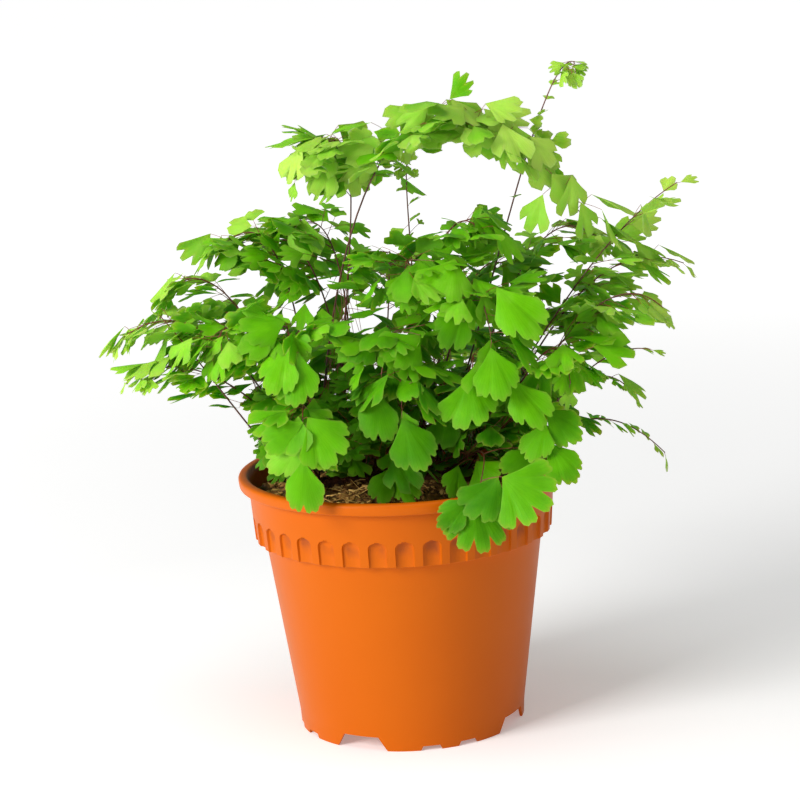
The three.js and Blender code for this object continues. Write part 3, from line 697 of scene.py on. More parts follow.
def make_pot():
    pot = grow("pot_body", sector_mesh(), ring_tree(), Count=FLUTES, Axis=POT_AXIS, Finish=ORANGE_PLASTIC)
    tool = add_object("cutters", cutters())
    cut = pot.modifiers.new("notches", "BOOLEAN")
    cut.object = tool
    cut.operation = "DIFFERENCE"
    cut.solver = "EXACT"
    settle(pot)
    bpy.data.objects.remove(tool)
    with editing(pot.data) as shape:
        bmesh.ops.remove_doubles(shape, verts=shape.verts, dist=NEARLY_ONE)
        bmesh.ops.dissolve_degenerate(shape, edges=shape.edges, dist=NEARLY_ONE)
    pot.data.materials.clear()
    pot.data.materials.append(ORANGE_PLASTIC)
    smooth_up_to(pot.data, 32)
    attach_values(pot.data, "soiled", [splashes(in_millimetres(vertex.co)) for vertex in pot.data.vertices])
    return finish_piece(pot, "pot")


POT = make_pot()
print("pot:", len(POT.data.polygons), "faces")

# %% [markdown]
# ## The potting mix
# Bark and coir fill the pot to a finger's width below the rim, in a low uneven mound. A round grid is
# raised by a few waves and by noise, and chips and fibres are strewn over it. Scattering by Geometry Nodes
# on the upward faces, with a fixed seed, gives the same litter each time.

# %% Mound
SOIL_EDGE_Z = 121
SOIL_CROWN_RISE = 4
SOIL_LUMP = 1.3
SOIL_RADIUS = 76.4
SOIL_RINGS = 44
SOIL_SPOKES = 150
BANKS = ((-66, -10), (-58, -36), (-40, -56))  # where the mix is heaped against the wall, at the front left
BANK_RADIUS = 13
BANK_RISE = 6
CLOD_RISE = 2
# radius and height of the mix against the pot's floor, wall and ledge, from the bottom up
MIX_UNDERSIDE = [(0.1, 10.4), (57.6, 10.8), (70, 102.2), (74.2, 104), (SOIL_RADIUS, 118)]


def soil_height(x, y):
    """The loaded solid's own waves, with finer clods on top and banks against the wall."""
    mound = 1 - (x * x + y * y) / (78 * 78)
    lumps = math.sin(x * 0.21 + 1.3) * math.cos(y * 0.24) + 0.6 * math.sin(x * 0.47 - y * 0.39)
    clods = noise.fractal(Vector((x, y, 0)) * 0.16, 0.9, 2.1, 5)
    banked = sum(math.exp(-((x - bx) ** 2 + (y - by) ** 2) / (2 * BANK_RADIUS**2)) for bx, by in BANKS)
    smooth = SOIL_EDGE_Z + 2 + SOIL_CROWN_RISE * mound + SOIL_LUMP * lumps
    return smooth + CLOD_RISE * clods + BANK_RISE * min(1, banked)


def mound_mesh():
    rings = MIX_UNDERSIDE + [(SOIL_RADIUS * (1 - i / SOIL_RINGS) + 0.02, None) for i in range(SOIL_RINGS)]
    points = []
    for radius, z in rings:
        for spoke in range(SOIL_SPOKES):
            turn = 2 * math.pi * spoke / SOIL_SPOKES
            x, y = radius * math.cos(turn), radius * math.sin(turn)
            points.append(in_frame((x, y, soil_height(x, y) if z is None else z)))
    faces = []
    for ring in range(len(rings) - 1):
        for spoke in range(SOIL_SPOKES):
            here, after = ring * SOIL_SPOKES + spoke, ring * SOIL_SPOKES + (spoke + 1) % SOIL_SPOKES
            faces.append((here, after, after + SOIL_SPOKES, here + SOIL_SPOKES))
    last = (len(rings) - 1) * SOIL_SPOKES
    faces.append(tuple(range(last, last + SOIL_SPOKES)))
    faces.append(tuple(reversed(range(SOIL_SPOKES))))
    mesh = mesh_from("mound", points, faces)
    attach_values(mesh, "tone", [0.28 + 0.3 * noise.noise(point * 90) for point in points])
    return mesh


# %% [markdown]
# A chip is a small flattened lump with uneven corners, and a fibre is a bent three-sided strand.
# A few of each are enough, because every copy has its own turn and size.


# %% Chips and fibres
def chip_mesh(draw):
    """A flattened, faceted bit of bark, about 1 unit long."""
    mesh = bpy.data.meshes.new("chip")
    with editing(mesh) as shape:
        bmesh.ops.create_icosphere(shape, subdivisions=1, radius=0.5)
        for vertex in shape.verts:
            vertex.co.x *= 1 + draw.uniform(-0.25, 0.25)
            vertex.co.y *= 0.6 + draw.uniform(-0.2, 0.2)
            vertex.co.z *= 0.34 + draw.uniform(-0.12, 0.12)
    return mesh


def fibre_mesh(draw):
    """A bent strand of coir, about 2 units long."""
    bends = 6
    bow, sway = draw.uniform(0.2, 0.7), draw.uniform(-0.6, 0.6)
    points, faces = [], []
    for i in range(bends + 1):
        t = i / bends - 0.5
        thickness = 0.05 * (1 - 1.4 * t * t)
        for corner in range(3):
            turn = 2 * math.pi * corner / 3
            lift = bow * (0.25 - t * t) + thickness * math.sin(turn)
            points.append((2 * t, sway * t * t * 2 + thickness * math.cos(turn), lift))
    for i in range(bends):
        for corner in range(3):
            low, onward = 3 * i + corner, 3 * i + (corner + 1) % 3
            faces.append((low, onward, onward + 3, low + 3))
    faces += [(2, 1, 0), (3 * bends, 3 * bends + 1, 3 * bends + 2)]
    return mesh_from("fibre", points, faces)


def collection_of(name, meshes):
    """A collection that isn't in the scene, for a tree to pick copies from."""
    collection = bpy.data.collections.new(name)
    for i, mesh in enumerate(meshes):
        collection.objects.link(bpy.data.objects.new(f"{name}_{i:02d}", mesh))
    return collection


LITTER_SEED = 11
CHIPS = 8
FIBRES = 2
litter_draw = random.Random(LITTER_SEED)
litter_meshes = [chip_mesh(litter_draw) for _ in range(CHIPS)]
litter_meshes += [fibre_mesh(litter_draw) for _ in range(FIBRES)]
LITTER = collection_of("litter", litter_meshes)


# %% [markdown]
# One tree strews litter over any mesh. It picks points on the faces that look up and lie near enough to a
# middle, sets a copy of one kind on each, turned, sized and toned at random, and joins them all to the mesh.

# %% Scatter tree
LEAST_UPWARD = 0.3  # litter lies only where the surface faces up by at least so much
FULL_TURN = 6.28


def upward_and_inside(tree, given):
    """Where the surface faces up and is near enough to the middle."""
    normal = tree.nodes.new("GeometryNodeInputNormal").outputs[0]
    facing = add_node(tree, "ShaderNodeSeparateXYZ", {0: normal})
    inputs = {0: facing.outputs["Z"], 1: LEAST_UPWARD}
    upward = add_node(tree, "FunctionNodeCompare", inputs, operation="GREATER_THAN")
    inputs = {0: tree.nodes.new("GeometryNodeInputPosition").outputs[0], 1: given.outputs["Middle"]}
    apart = add_node(tree, "ShaderNodeVectorMath", inputs, operation="DISTANCE")
    inputs = {0: apart.outputs["Value"], 1: given.outputs["Within"]}
    inside = add_node(tree, "FunctionNodeCompare", inputs, operation="LESS_THAN")
    inputs = {0: upward.outputs[0], 1: inside.outputs[0]}
    return add_node(tree, "FunctionNodeBooleanMath", inputs, operation="AND").outputs[0]


def draw_value(tree, given, kind, low, high, salt):
    """A random value for each point, which follows the tree's seed."""
    node = add_node(tree, "FunctionNodeRandomValue", data_type=kind)
    low_socket, high_socket = [s for s in node.inputs if s.enabled and s.name in ("Min", "Max")]
    give(tree, low_socket, low)
    give(tree, high_socket, high)
    tree.links.new(arithmetic(tree, "ADD", given.outputs["Seed"], salt), node.inputs["Seed"])
    return next(s for s in node.outputs if s.enabled)


def scatter_tree():
    tree, given, result = geometry_tree(
        "strew",
        [
            ("Kinds", "NodeSocketCollection"), ("Density", "NodeSocketFloat"),
            ("Smallest", "NodeSocketFloat"), ("Largest", "NodeSocketFloat"), ("Seed", "NodeSocketInt"),
            ("Middle", "NodeSocketVector"), ("Within", "NodeSocketFloat"), ("Finish", "NodeSocketMaterial"),
        ],
    )
    inputs = {
        "Mesh": given.outputs["Geometry"], "Selection": upward_and_inside(tree, given),
        "Density": given.outputs["Density"], "Seed": given.outputs["Seed"],
    }
    spots = add_node(tree, "GeometryNodeDistributePointsOnFaces", inputs)
    turn = draw_value(tree, given, "FLOAT_VECTOR", (-0.5, -0.5, 0.0), (0.5, 0.5, FULL_TURN), 1)
    size = draw_value(tree, given, "FLOAT", given.outputs["Smallest"], given.outputs["Largest"], 2)
    which = draw_value(tree, given, "INT", 0, CHIPS + FIBRES - 1, 3)
    rotation = add_node(tree, "FunctionNodeEulerToRotation", {0: turn})
    copies = copies_on_points(tree, given, spots.outputs["Points"], which, rotation.outputs[0], size)
    inputs = {"Geometry": copies, "Name": "tone", "Value": draw_value(tree, given, "FLOAT", 0.1, 1.1, 4)}
    toned = add_node(tree, "GeometryNodeStoreNamedAttribute", inputs, domain="INSTANCE")
    real = add_node(tree, "GeometryNodeRealizeInstances", {"Geometry": toned.outputs[0]})
    joined = tree.nodes.new("GeometryNodeJoinGeometry")
    tree.links.new(given.outputs["Geometry"], joined.inputs[0])
    tree.links.new(real.outputs[0], joined.inputs[0])
    end_tree(tree, joined.outputs[0], given, result)
    return tree


SCATTER = scatter_tree()

# %% [markdown]
# Chips of about 1.6 to 6.5 mm, and fibres twice as long, are strewn over the mound, but not at its edge
# against the pot's wall.

# %% Strew the mix
WALL_CLEARANCE = 4  # from the edge of the mix to the middle of the nearest litter
mix = grow(
    "potting_mix_surface", mound_mesh(), SCATTER, Kinds=LITTER, Density=100000.0, Smallest=1.6 * MM,
    Largest=6.5 * MM, Seed=LITTER_SEED, Middle=in_frame((0, 0, SOIL_EDGE_Z)),
    Within=(SOIL_RADIUS - WALL_CLEARANCE) * MM, Finish=MIX_FINISH,
)
smooth_up_to(mix.data, 30)
finish_piece(mix, "potting_mix")
print("potting mix:", len(mix.data.polygons), "faces")

# %% [markdown]
# ## The rootstock
# The creeping rootstock lies half in the mix, under all the stems. It is a knobbly tube along a smooth line
# through four points, covered in small dry scales by the same scatter tree.

# %% Rootstock
ROOTSTOCK_RADIUS = 5
ROOTSTOCK_LINE = [Vector(p) for p in ((-54, -3, 125), (-24, 6, 127), (12, 1, 127), (48, -4, 125))]


def along_rootstock(t):
    """A point of the centripetal Catmull-Rom line through the four points, for t from 0 to 1."""
    knots = ROOTSTOCK_LINE
    place = t * (len(knots) - 1)
    i = min(int(place), len(knots) - 2)
    share = place - i
    p1, p2 = knots[i], knots[i + 1]
    p0 = knots[i - 1] if i > 0 else 2 * p1 - p2
    p3 = knots[i + 2] if i + 2 < len(knots) else 2 * p2 - p1
    d0, d1, d2 = ((b - a).length ** 0.5 for a, b in ((p0, p1), (p1, p2), (p2, p3)))
    leave = ((p1 - p0) / d0 - (p2 - p0) / (d0 + d1) + (p2 - p1) / d1) * d1
    arrive = ((p2 - p1) / d1 - (p3 - p1) / (d1 + d2) + (p3 - p2) / d2) * d1
    square, cube = share * share, share**3
    return (
        p1 * (2 * cube - 3 * square + 1) + leave * (cube - 2 * square + share)
        + p2 * (3 * square - 2 * cube) + arrive * (cube - square)
    )


SCALE_THICKNESS = 0.4  # the tube is so much thinner than the solid, because scales lie on it
KNOB_RISE = 0.14  # of the radius
ROOTSTOCK_TONE = 0.3


def rootstock_mesh():
    steps, sides = 60, 18
    points, faces = [], []
    for step in range(steps + 1):
        t = step / steps
        centre = along_rootstock(t)
        onward = (along_rootstock(min(1, t + 0.01)) - along_rootstock(max(0, t - 0.01))).normalized()
        side = onward.cross(Vector((0, 0, 1))).normalized()
        top = side.cross(onward)
        blunt = math.sqrt(max(0.02, 1 - (2 * t - 1) ** 14))
        for corner in range(sides):
            turn = 2 * math.pi * corner / sides
            direction = side * math.cos(turn) + top * math.sin(turn)
            knobs = 1 + KNOB_RISE * noise.noise((centre + direction * 5) * 0.22)
            points.append(in_frame(centre + direction * (ROOTSTOCK_RADIUS - SCALE_THICKNESS) * blunt * knobs))
    for step in range(steps):
        for corner in range(sides):
            here, after = step * sides + corner, step * sides + (corner + 1) % sides
            faces.append((here, here + sides, after + sides, after))
    faces.append(tuple(range(sides)))
    faces.append(tuple(reversed(range(steps * sides, (steps + 1) * sides))))
    mesh = mesh_from("rootstock", points, faces)
    attach_values(mesh, "tone", [ROOTSTOCK_TONE] * len(points))
    return mesh


rootstock = grow(
    "rootstock", rootstock_mesh(), SCATTER, Kinds=LITTER, Density=200000.0, Smallest=1.0 * MM,
    Largest=2.6 * MM, Seed=LITTER_SEED + 1, Middle=in_frame((0, 0, SOIL_EDGE_Z)), Within=SOIL_RADIUS * MM,
    Finish=ROOTSTOCK_FINISH,
)
smooth_up_to(rootstock.data, 35)
finish_piece(rootstock, "rhizome")
print("rootstock:", len(rootstock.data.polygons), "faces")

# %% [markdown]
# ## The fronds' plan
# Each frond's stem is one arc, a cubic Bezier curve from the rootstock by way of `rise` and `arch` to `tip`.
# `leafy` is where along it the leaflets begin, `nodes` how many side sprays it has, `reach` the longest spray
# and `size` a full leaflet. The large leaflets that face the viewer are given one by one, from root to edge.


# %% Fronds in front
def frond(name, rise, arch, tip, leafy, nodes, reach, size, bends=6, fans=()):
    return {
        "name": name, "rise": Vector(rise), "arch": Vector(arch), "tip": Vector(tip), "leafy": leafy,
        "nodes": nodes, "reach": reach, "size": size, "bends": bends, "fans": fans,
    }


FRONT_RANK = [
    frond("front_left", (-48, -24, 184), (-46, -60, 204), (-47, -84, 162), 0.5, 2, 0, 20, fans=[
        ((-47, -84, 161), (-51, -89, 136)),
        ((-46, -77, 178), (-67, -80, 171)),
        ((-44, -76, 180), (-26, -84, 164)),
        ((-47, -79, 169), (-63, -84, 154)),
        ((-47, -80, 170), (-31, -88, 156)),
    ]),
    frond("left_front", (-54, -22, 190), (-56, -40, 246), (-50, -60, 208), 0.4, 4, 28, 21, fans=[
        ((-47, -58, 209), (-47, -72, 187)),
        ((-52, -57, 213), (-66, -70, 196)),
        ((-53, -55, 224), (-72, -61, 217)),
    ]),
    frond("center_left", (-6, -20, 196), (4, -44, 246), (-8, -60, 192), 0.4, 4, 26, 20, fans=[
        ((-11, -60, 190), (-13, -74, 167)),
        ((-9, -50, 214), (-22, -62, 204)),
        ((13, -55, 214), (1, -68, 201)),
    ]),
    frond("center_tall", (2, -28, 180), (3, -52, 226), (2, -66, 177), 0.5, 2, 0, 20, fans=[
        ((2, -66, 175), (14, -80, 155)),
        ((2, -58, 193), (-1, -71, 178)),
    ]),
    frond("center_front", (33, -20, 212), (40, -44, 268), (48, -66, 210), 0.38, 4, 28, 22, fans=[
        ((47, -66, 208), (54, -79, 187)),
        ((51, -62, 237), (64, -76, 213)),
        ((36, -54, 229), (21, -66, 214)),
        ((32, -48, 250), (29, -66, 232)),
    ]),
    frond("center_low", (38, -24, 178), (42, -52, 222), (37, -64, 194), 0.5, 2, 0, 20, fans=[
        ((36, -64, 194), (40, -78, 173)),
        ((57, -64, 191), (65, -76, 169)),
    ]),
    frond("soil_small", (-5, -20, 140), (-4, -38, 156), (-4, -48, 146), 0.9, 0, 0, 12, fans=[
        ((-6, -50, 146), (-15, -62, 135)),
        ((-2, -48, 144), (1, -60, 131)),
    ]),
    frond("rim_small", (30, -22, 142), (32, -40, 156), (34, -48, 148), 0.8, 0, 0, 12, fans=[
        ((29, -50, 146), (22, -62, 136)),
        ((38, -47, 147), (48, -60, 141)),
    ]),
    frond("rim_right", (42, -34, 152), (46, -66, 164), (37, -86, 140), 0.9, 0, 0, 16, fans=[
        ((36, -88, 137), (40, -97, 115)),
        ((38, -85, 140), (58, -98, 137)),
        ((33, -88, 138), (16, -95, 131)),
        ((66, -58, 154), (50, -74, 148)),
    ]),
    frond("front_right", (58, -28, 160), (68, -50, 192), (74, -61, 160), 0.5, 2, 0, 19, fans=[
        ((74, -62, 158), (87, -73, 143)),
        ((73, -60, 168), (66, -70, 152)),
        ((73, -58, 174), (90, -64, 162)),
    ]),
    frond("left_wire", (-81, -22, 168), (-93, -32, 197), (-118, -38, 230), 0.8, 2, 0, 9),
    frond("left_far_low", (-69, -20, 186), (-107, -32, 214), (-138, -28, 192), 0.5, 5, 22, 15),
    frond("left_mid", (-66, -16, 204), (-84, -36, 243), (-90, -50, 205), 0.4, 5, 30, 20),
    frond("left_far", (-74, -8, 206), (-107, -18, 240), (-141, -20, 211), 0.45, 6, 28, 18),
    frond("center_high", (14, -14, 222), (10, -34, 276), (6, -54, 236), 0.4, 5, 30, 21),
    frond("right_front", (68, -20, 187), (83, -46, 227), (86, -62, 184), 0.4, 5, 28, 20),
    frond("right_wire", (80, -14, 160), (98, -33, 206), (130, -42, 198), 0.6, 4, 0, 12),
    frond("right_mid", (75, -12, 186), (108, -25, 250), (138, -33, 215), 0.42, 6, 28, 18),
]

# %% [markdown]
# The second rank stands behind the first. The two fronds of the crown, which arch over the plant, belong to
# it, and two young ones that stand up and bear small leaflets.

# %% Fronds in the second rank
BACK_RANK = [
    frond("top_arch", (-36, 0, 225), (0, -10, 420), (106, -24, 252), 0.5, 9, 30, 20, bends=12),
    frond("top_left", (-24, 6, 245), (3, 4, 356), (-50, -12, 284), 0.5, 6, 30, 18, bends=9),
    frond("tall_young", (52, 10, 219), (82, 4, 348), (98, 0, 340), 0.5, 6, 0, 10),
    frond("left_up", (-62, 8, 209), (-92, 8, 258), (-116, 0, 232), 0.42, 6, 28, 18),
    frond("left_high", (-43, 20, 222), (-60, 22, 283), (-88, 24, 250), 0.45, 5, 30, 18),
    frond("upper_left", (-18, 18, 232), (-29, 24, 284), (-54, 30, 254), 0.42, 5, 30, 18),
    frond("inner_young", (19, 12, 205), (6, 8, 276), (12, 0, 300), 0.6, 4, 0, 10),
    frond("upper_mid", (15, 10, 231), (30, -10, 288), (50, -34, 256), 0.45, 5, 30, 20),
    frond("upper_right", (56, 22, 217), (80, 24, 279), (112, 20, 244), 0.42, 6, 30, 18),
    frond("right_up", (64, 2, 179), (104, -6, 256), (150, -14, 280), 0.42, 6, 30, 18),
    frond("right_far", (72, 12, 186), (104, 14, 258), (155, 6, 232), 0.45, 6, 26, 17),
    frond("right_low", (76, 4, 156), (102, -4, 200), (123, -12, 168), 0.5, 4, 0, 14),
    frond("right_spray", (82, 12, 146), (106, 16, 172), (142, 10, 130), 0.5, 5, 0, 15),
]

# %% [markdown]
# The fronds behind lean back in two fans, a low wide one and a high narrow one, worked out from a few
# numbers.


# %% Fronds behind
def back_fan(name, count, out, top, rise, leafy, size):
    fan = []
    for i in range(count):
        turn = math.pi * (0.9 - 0.8 * i / (count - 1))  # from the left round the back to the right
        height = top + 14 * math.sin(2.4 * i + 1)

        def point(share, z, turn=turn):
            return (out * share * math.cos(turn), 8 + out * share * math.sin(turn), z)

        middle = SOIL_EDGE_Z + (height - SOIL_EDGE_Z) * 0.65
        stem = (point(0.3, middle), point(0.72, height + rise), point(1, height - 8))
        fan.append(frond(f"{name}_{i + 1}", *stem, leafy, 5, 30, size))
    return fan


BACK_RANK += back_fan("back_low", 4, 108, 192, 28, 0.42, 20)
BACK_RANK += back_fan("back_high", 3, 70, 240, 30, 0.45, 19)


RANK_OFFSET = 2.6  # of a rank of stems from the rootstock's middle
FOOT_RISE = 0.75  # of the rootstock's radius


def rooted(rank, side):
    """Stems stand along the rootstock in two ranks, each from left to right."""
    for i, row in enumerate(sorted(rank, key=lambda row: row["rise"].x)):
        on_top = Vector((0, side * RANK_OFFSET, ROOTSTOCK_RADIUS * FOOT_RISE))
        row["foot"] = along_rootstock((i + 0.5) / len(rank)) + on_top
        yield row


FRONDS = [*rooted(FRONT_RANK, -1), *rooted(BACK_RANK, 1)]
print(len(FRONDS), "fronds")

# %% [markdown]
# ## How a spray grows
# A spray is a side branch with leaflets. It leaves the stem to one side and turns its face to the light, up
# and outwards. Where it would have met a neighbour, the solid took another of a dozen poses. The same rule
# here gives the twelve candidates, and the one whose outer points lie on the loaded solid is the right one.
# Where none does, a spray is left out and counted, and a large leaflet stays in its plain pose.


# %% Spray frames
def chance(seed):
    """The same number between 0 and 1 each time for the same seed."""
    turns = math.sin(seed * 78.233 + 12.9898) * 43758.5453
    return turns - math.floor(turns)


def stem_point(row, t):
    knots = (row["foot"], row["rise"], row["arch"], row["tip"])
    weights = ((1 - t) ** 3, 3 * t * (1 - t) ** 2, 3 * t * t * (1 - t), t**3)
    return sum((knot * weight for knot, weight in zip(knots, weights)), Vector())


def stem_direction(row, t):
    return (stem_point(row, min(1, t + 1e-3)) - stem_point(row, max(0, t - 1e-3))).normalized()


SUNK_SHARE = 0.06  # of a loaded solid's stem, which is one straight piece out of the mix
BENT_SHARE = 0.94  # of it, in straight pieces of equal shares


def chord_point(row, t):
    """Where the loaded solid's stem is at t: it is straight between its knots."""
    place = min((t - SUNK_SHARE) / BENT_SHARE * row["bends"], row["bends"] - 0.01)
    i = math.floor(place)
    ends = [stem_point(row, SUNK_SHARE + BENT_SHARE * k / row["bends"]) for k in (i, i + 1)]
    return ends[0].lerp(ends[1], place - i)


LAST_SPRAY = 0.97  # of the way along the stem


def spray_rule(row, index, i):
    """The plain pose of side spray number i. Half numbers lie between the loaded solid's sprays."""
    share = i / max(1, row["nodes"] - 1)
    t = row["leafy"] + (LAST_SPRAY - row["leafy"]) * share
    side = 1 if int(i) % 2 else -1
    if i != int(i):
        side = -side
    heading = (row["tip"] - row["foot"]).xy.to_3d().normalized()
    across = Vector((-heading.y, heading.x, 0))
    forward = stem_direction(row, t)
    facing = forward.cross(across).normalized()
    turned = 0.1 if i == row["nodes"] - 1 else 0.56
    lean = forward.lerp(across * side, turned).normalized()
    seed = index * 100 + i
    sway = [chance(seed * 7 + k) - 0.5 for k in range(5)]
    root = chord_point(row, t)
    light = Vector((root.x / 90, root.y / 90 - 0.35, 0.75)).normalized()
    along = (lean + Vector((0, 0, -0.12)) + Vector(sway[1:4]) * 0.25).normalized()
    width = along.cross(facing.lerp(light, 0.55)).normalized()
    size = row["size"] * (1 - 0.25 * share)
    reach = row["reach"] * (1 - share) ** 0.7
    stalk = 0 if reach < 0.6 * size else reach
    return {
        "t": t, "root": root, "along": along, "width": width, "twist": 0.4 * sway[4], "size": size,
        "stalk": stalk, "side": side,
    }


# %% [markdown]
# Each pose gives the corners of a spray's end leaflet. A search tree of the loaded solid's own corners then
# tells quickly whether they are where the solid has them.

# %% Poses and how to find the right one
# twist, droop and swing in radians, and the scale
POSES = [
    (0, 0, 0, 1), (0.4, 0, 0, 1), (-0.4, 0, 0, 1), (0, 0.35, 0, 1), (0, -0.35, 0, 1), (0, 0, 0.4, 1),
    (0, 0, -0.4, 1), (0.7, 0.25, 0, 0.95), (-0.7, 0.25, 0, 0.95), (0.3, -0.5, 0.3, 0.9),
    (-0.3, -0.5, -0.3, 0.9), (0.3, 0.6, 0, 0.85),
]
FULL_SIZE_POSES = POSES[:7]
HALF_BLADE = 0.3  # half the thickness of a loaded solid's leaflet
SPRAY_SAG = 0.14  # how far a spray bows down at its end, of its length


def turned_by(vector, axis, angle):
    return Matrix.Rotation(angle, 3, axis) @ vector


def posed(spray, pose):
    twist, droop, swing, scale = pose
    normal = spray["width"].cross(spray["along"])
    along = turned_by(turned_by(spray["along"], spray["width"], -droop), normal, swing)
    width = turned_by(turned_by(spray["width"], normal, swing), along, spray["twist"] + twist)
    made = dict(spray, along=along, width=width, normal=width.cross(along))
    made["size"], made["stalk"] = spray["size"] * scale, spray["stalk"] * scale
    return made


def outer_points(spray):
    """Corners of the end leaflet of a spray as the loaded solid has them, on its upper face."""
    size, stalk = spray["size"], spray["stalk"]
    lobes = 3 if size > 21 else 2 if size > 15 else 1
    for i in range(2 * lobes + 1):
        part = 1 - i / lobes
        angle = math.radians(40) * part
        radius = size * (0.78 if abs(part) == 1 else (1 if i % 2 else 0.9) * (1 - 0.08 * part * part))
        x, y = radius * math.sin(angle), stalk + radius * math.cos(angle)
        sag = SPRAY_SAG * y * y / (stalk + size) + 0.12 * x * x / size
        yield spray["root"] + spray["width"] * x + spray["along"] * y + spray["normal"] * (HALF_BLADE - sag)


ON_SOLID = 0.1  # mm from a corner of the solid
ENOUGH_HITS = 0.6


def match_pose(spray, finder):
    """The spray in the pose that the loaded solid has, or None where no pose fits."""
    for stalk in dict.fromkeys((spray["stalk"], 0)):
        for pose in POSES:
            made = posed(dict(spray, stalk=stalk), pose)
            points = list(outer_points(made))
            hits = sum(finder.find(point)[2] < ON_SOLID for point in points)
            if hits >= ENOUGH_HITS * len(points):
                return made
    return None


# %% [markdown]
# ## Leaflets
# A leaflet is a fan: narrow at its root, with a rounded outer edge cut into lobes. A grid of rays and rings
# gives that with few faces. Its upper and lower face share the outline, so it is a thin closed shape,
# thickest in the middle. Twelve shapes, from young two-lobed ones to a broad one with five lobes, are
# enough, because copies differ in size, turn and tone.

# %% Leaflet shapes
LEAF_THICKNESS = 0.008
TOOTH_DEPTH = 0.05


def fan_outline(lobes, depth, shoulder, lean, teeth, steps):
    """For each ray: its place across the fan from -1 to 1, its length, and how far it is out of a cut."""
    rays = lobes * teeth * steps
    outline = []
    for ray in range(rays + 1):
        part = 2 * ray / rays - 1
        in_lobe = ray / (teeth * steps) % 1
        bump = 0.6 if ray in (0, rays) else math.sin(math.pi * in_lobe) ** 0.55
        notch = TOOTH_DEPTH if ray % steps == 0 and teeth > 1 else 0
        slant = 1 - (1 - shoulder) * abs(part) ** 1.6 + 0.2 * lean * part * (1 - 0.5 * abs(part))
        outline.append((part, slant * (1 - depth * (1 - bump) * (1 - 0.4 * abs(part)) - notch), bump))
    return outline


def lay_uvs(mesh, coordinates):
    """Across and outwards. At the root, which is one point, a face takes the middle of its other corners."""
    layer = mesh.uv_layers.new(name="UVMap")
    for face in mesh.polygons:
        corners = [mesh.loops[i].vertex_index for i in face.loop_indices]
        for loop, vertex in zip(face.loop_indices, corners):
            u, v = coordinates[vertex]
            if vertex == 0:
                u = sum(coordinates[c][0] for c in corners if c) / (len(corners) - 1)
            layer.data[loop].uv = (u, v)


# %% [markdown]
# The two sheets of a leaflet start from one root and end in one outline, and their outermost rays are shared
# too. `under` is 1 on the lower sheet, 0 on the upper one and a half where they meet, so that the finish can
# tell them apart.


# %% One leaflet
def leaflet_mesh(lobes, depth, spread_deg, shoulder, lean, arch, wave, teeth, steps, rings):
    """A fan of length 1 from its root at the origin along +Y, facing +Z."""
    rays = lobes * teeth * steps
    spread = math.radians(spread_deg)
    outline = fan_outline(lobes, depth, shoulder, lean, teeth, steps)

    def point(part, radius, bump, share, lift):
        angle = spread * part * (0.82 + 0.18 * share)
        reach = radius * share
        x, y = reach * math.sin(angle + 0.2 * lean), reach * math.cos(angle + 0.2 * lean)
        height = -arch * y * y - 0.1 * x * x + wave * share**2 * math.sin(4.2 * part + 3 * lean)
        height += 0.03 * (bump - 0.5) * share**3
        return (x, y, height + lift)

    points, coordinates, under = [(0, 0, 0)], [(0.5, 0)], [0.5]
    for part, radius, bump in outline:
        points.append(point(part, radius, bump, 1, 0))
        coordinates.append(((part + 1) / 2, 1))
        under.append(0.5)
    sheets = []
    for lift, below in ((LEAF_THICKNESS, 0), (-LEAF_THICKNESS, 1)):
        rows = []
        for share in rings:
            rows.append([])
            for part, radius, bump in outline:
                edge = 1 if abs(part) == 1 else 0
                points.append(point(part, radius, bump, share, 0 if edge else lift))
                coordinates.append(((part + 1) / 2, share))
                under.append(0.5 if edge else below)
                rows[-1].append(len(points) - 1)
        sheets.append(rows + [list(range(1, rays + 2))])
    for upper, lower in zip(*sheets):
        lower[0], lower[-1] = upper[0], upper[-1]  # the side edges are shared
    faces = []
    for below, rows in enumerate(sheets):
        for ray in range(rays):
            whole = [(0, rows[0][ray + 1], rows[0][ray])]
            for inner, outer in zip(rows, rows[1:]):
                whole.append((inner[ray], inner[ray + 1], outer[ray + 1], outer[ray]))
            faces += [tuple(reversed(face)) for face in whole] if below else whole
    mesh = mesh_from("leaflet", points, faces)
    lay_uvs(mesh, coordinates)
    attach_values(mesh, "under", under)
    with editing(mesh) as shape:
        bmesh.ops.delete(shape, geom=[v for v in shape.verts if not v.link_faces], context="VERTS")
        bmesh.ops.recalc_face_normals(shape, faces=shape.faces)
    smooth_up_to(mesh, 70)
    return mesh


# %% [markdown]
# The shapes of the large leaflets in front, and the broad one, have two rings of points inside the outline.
# The others have one, which is enough at their size.

# %% The twelve shapes
FINE_RINGS = (0.35, 0.72)
PLAIN_RINGS = (0.6,)
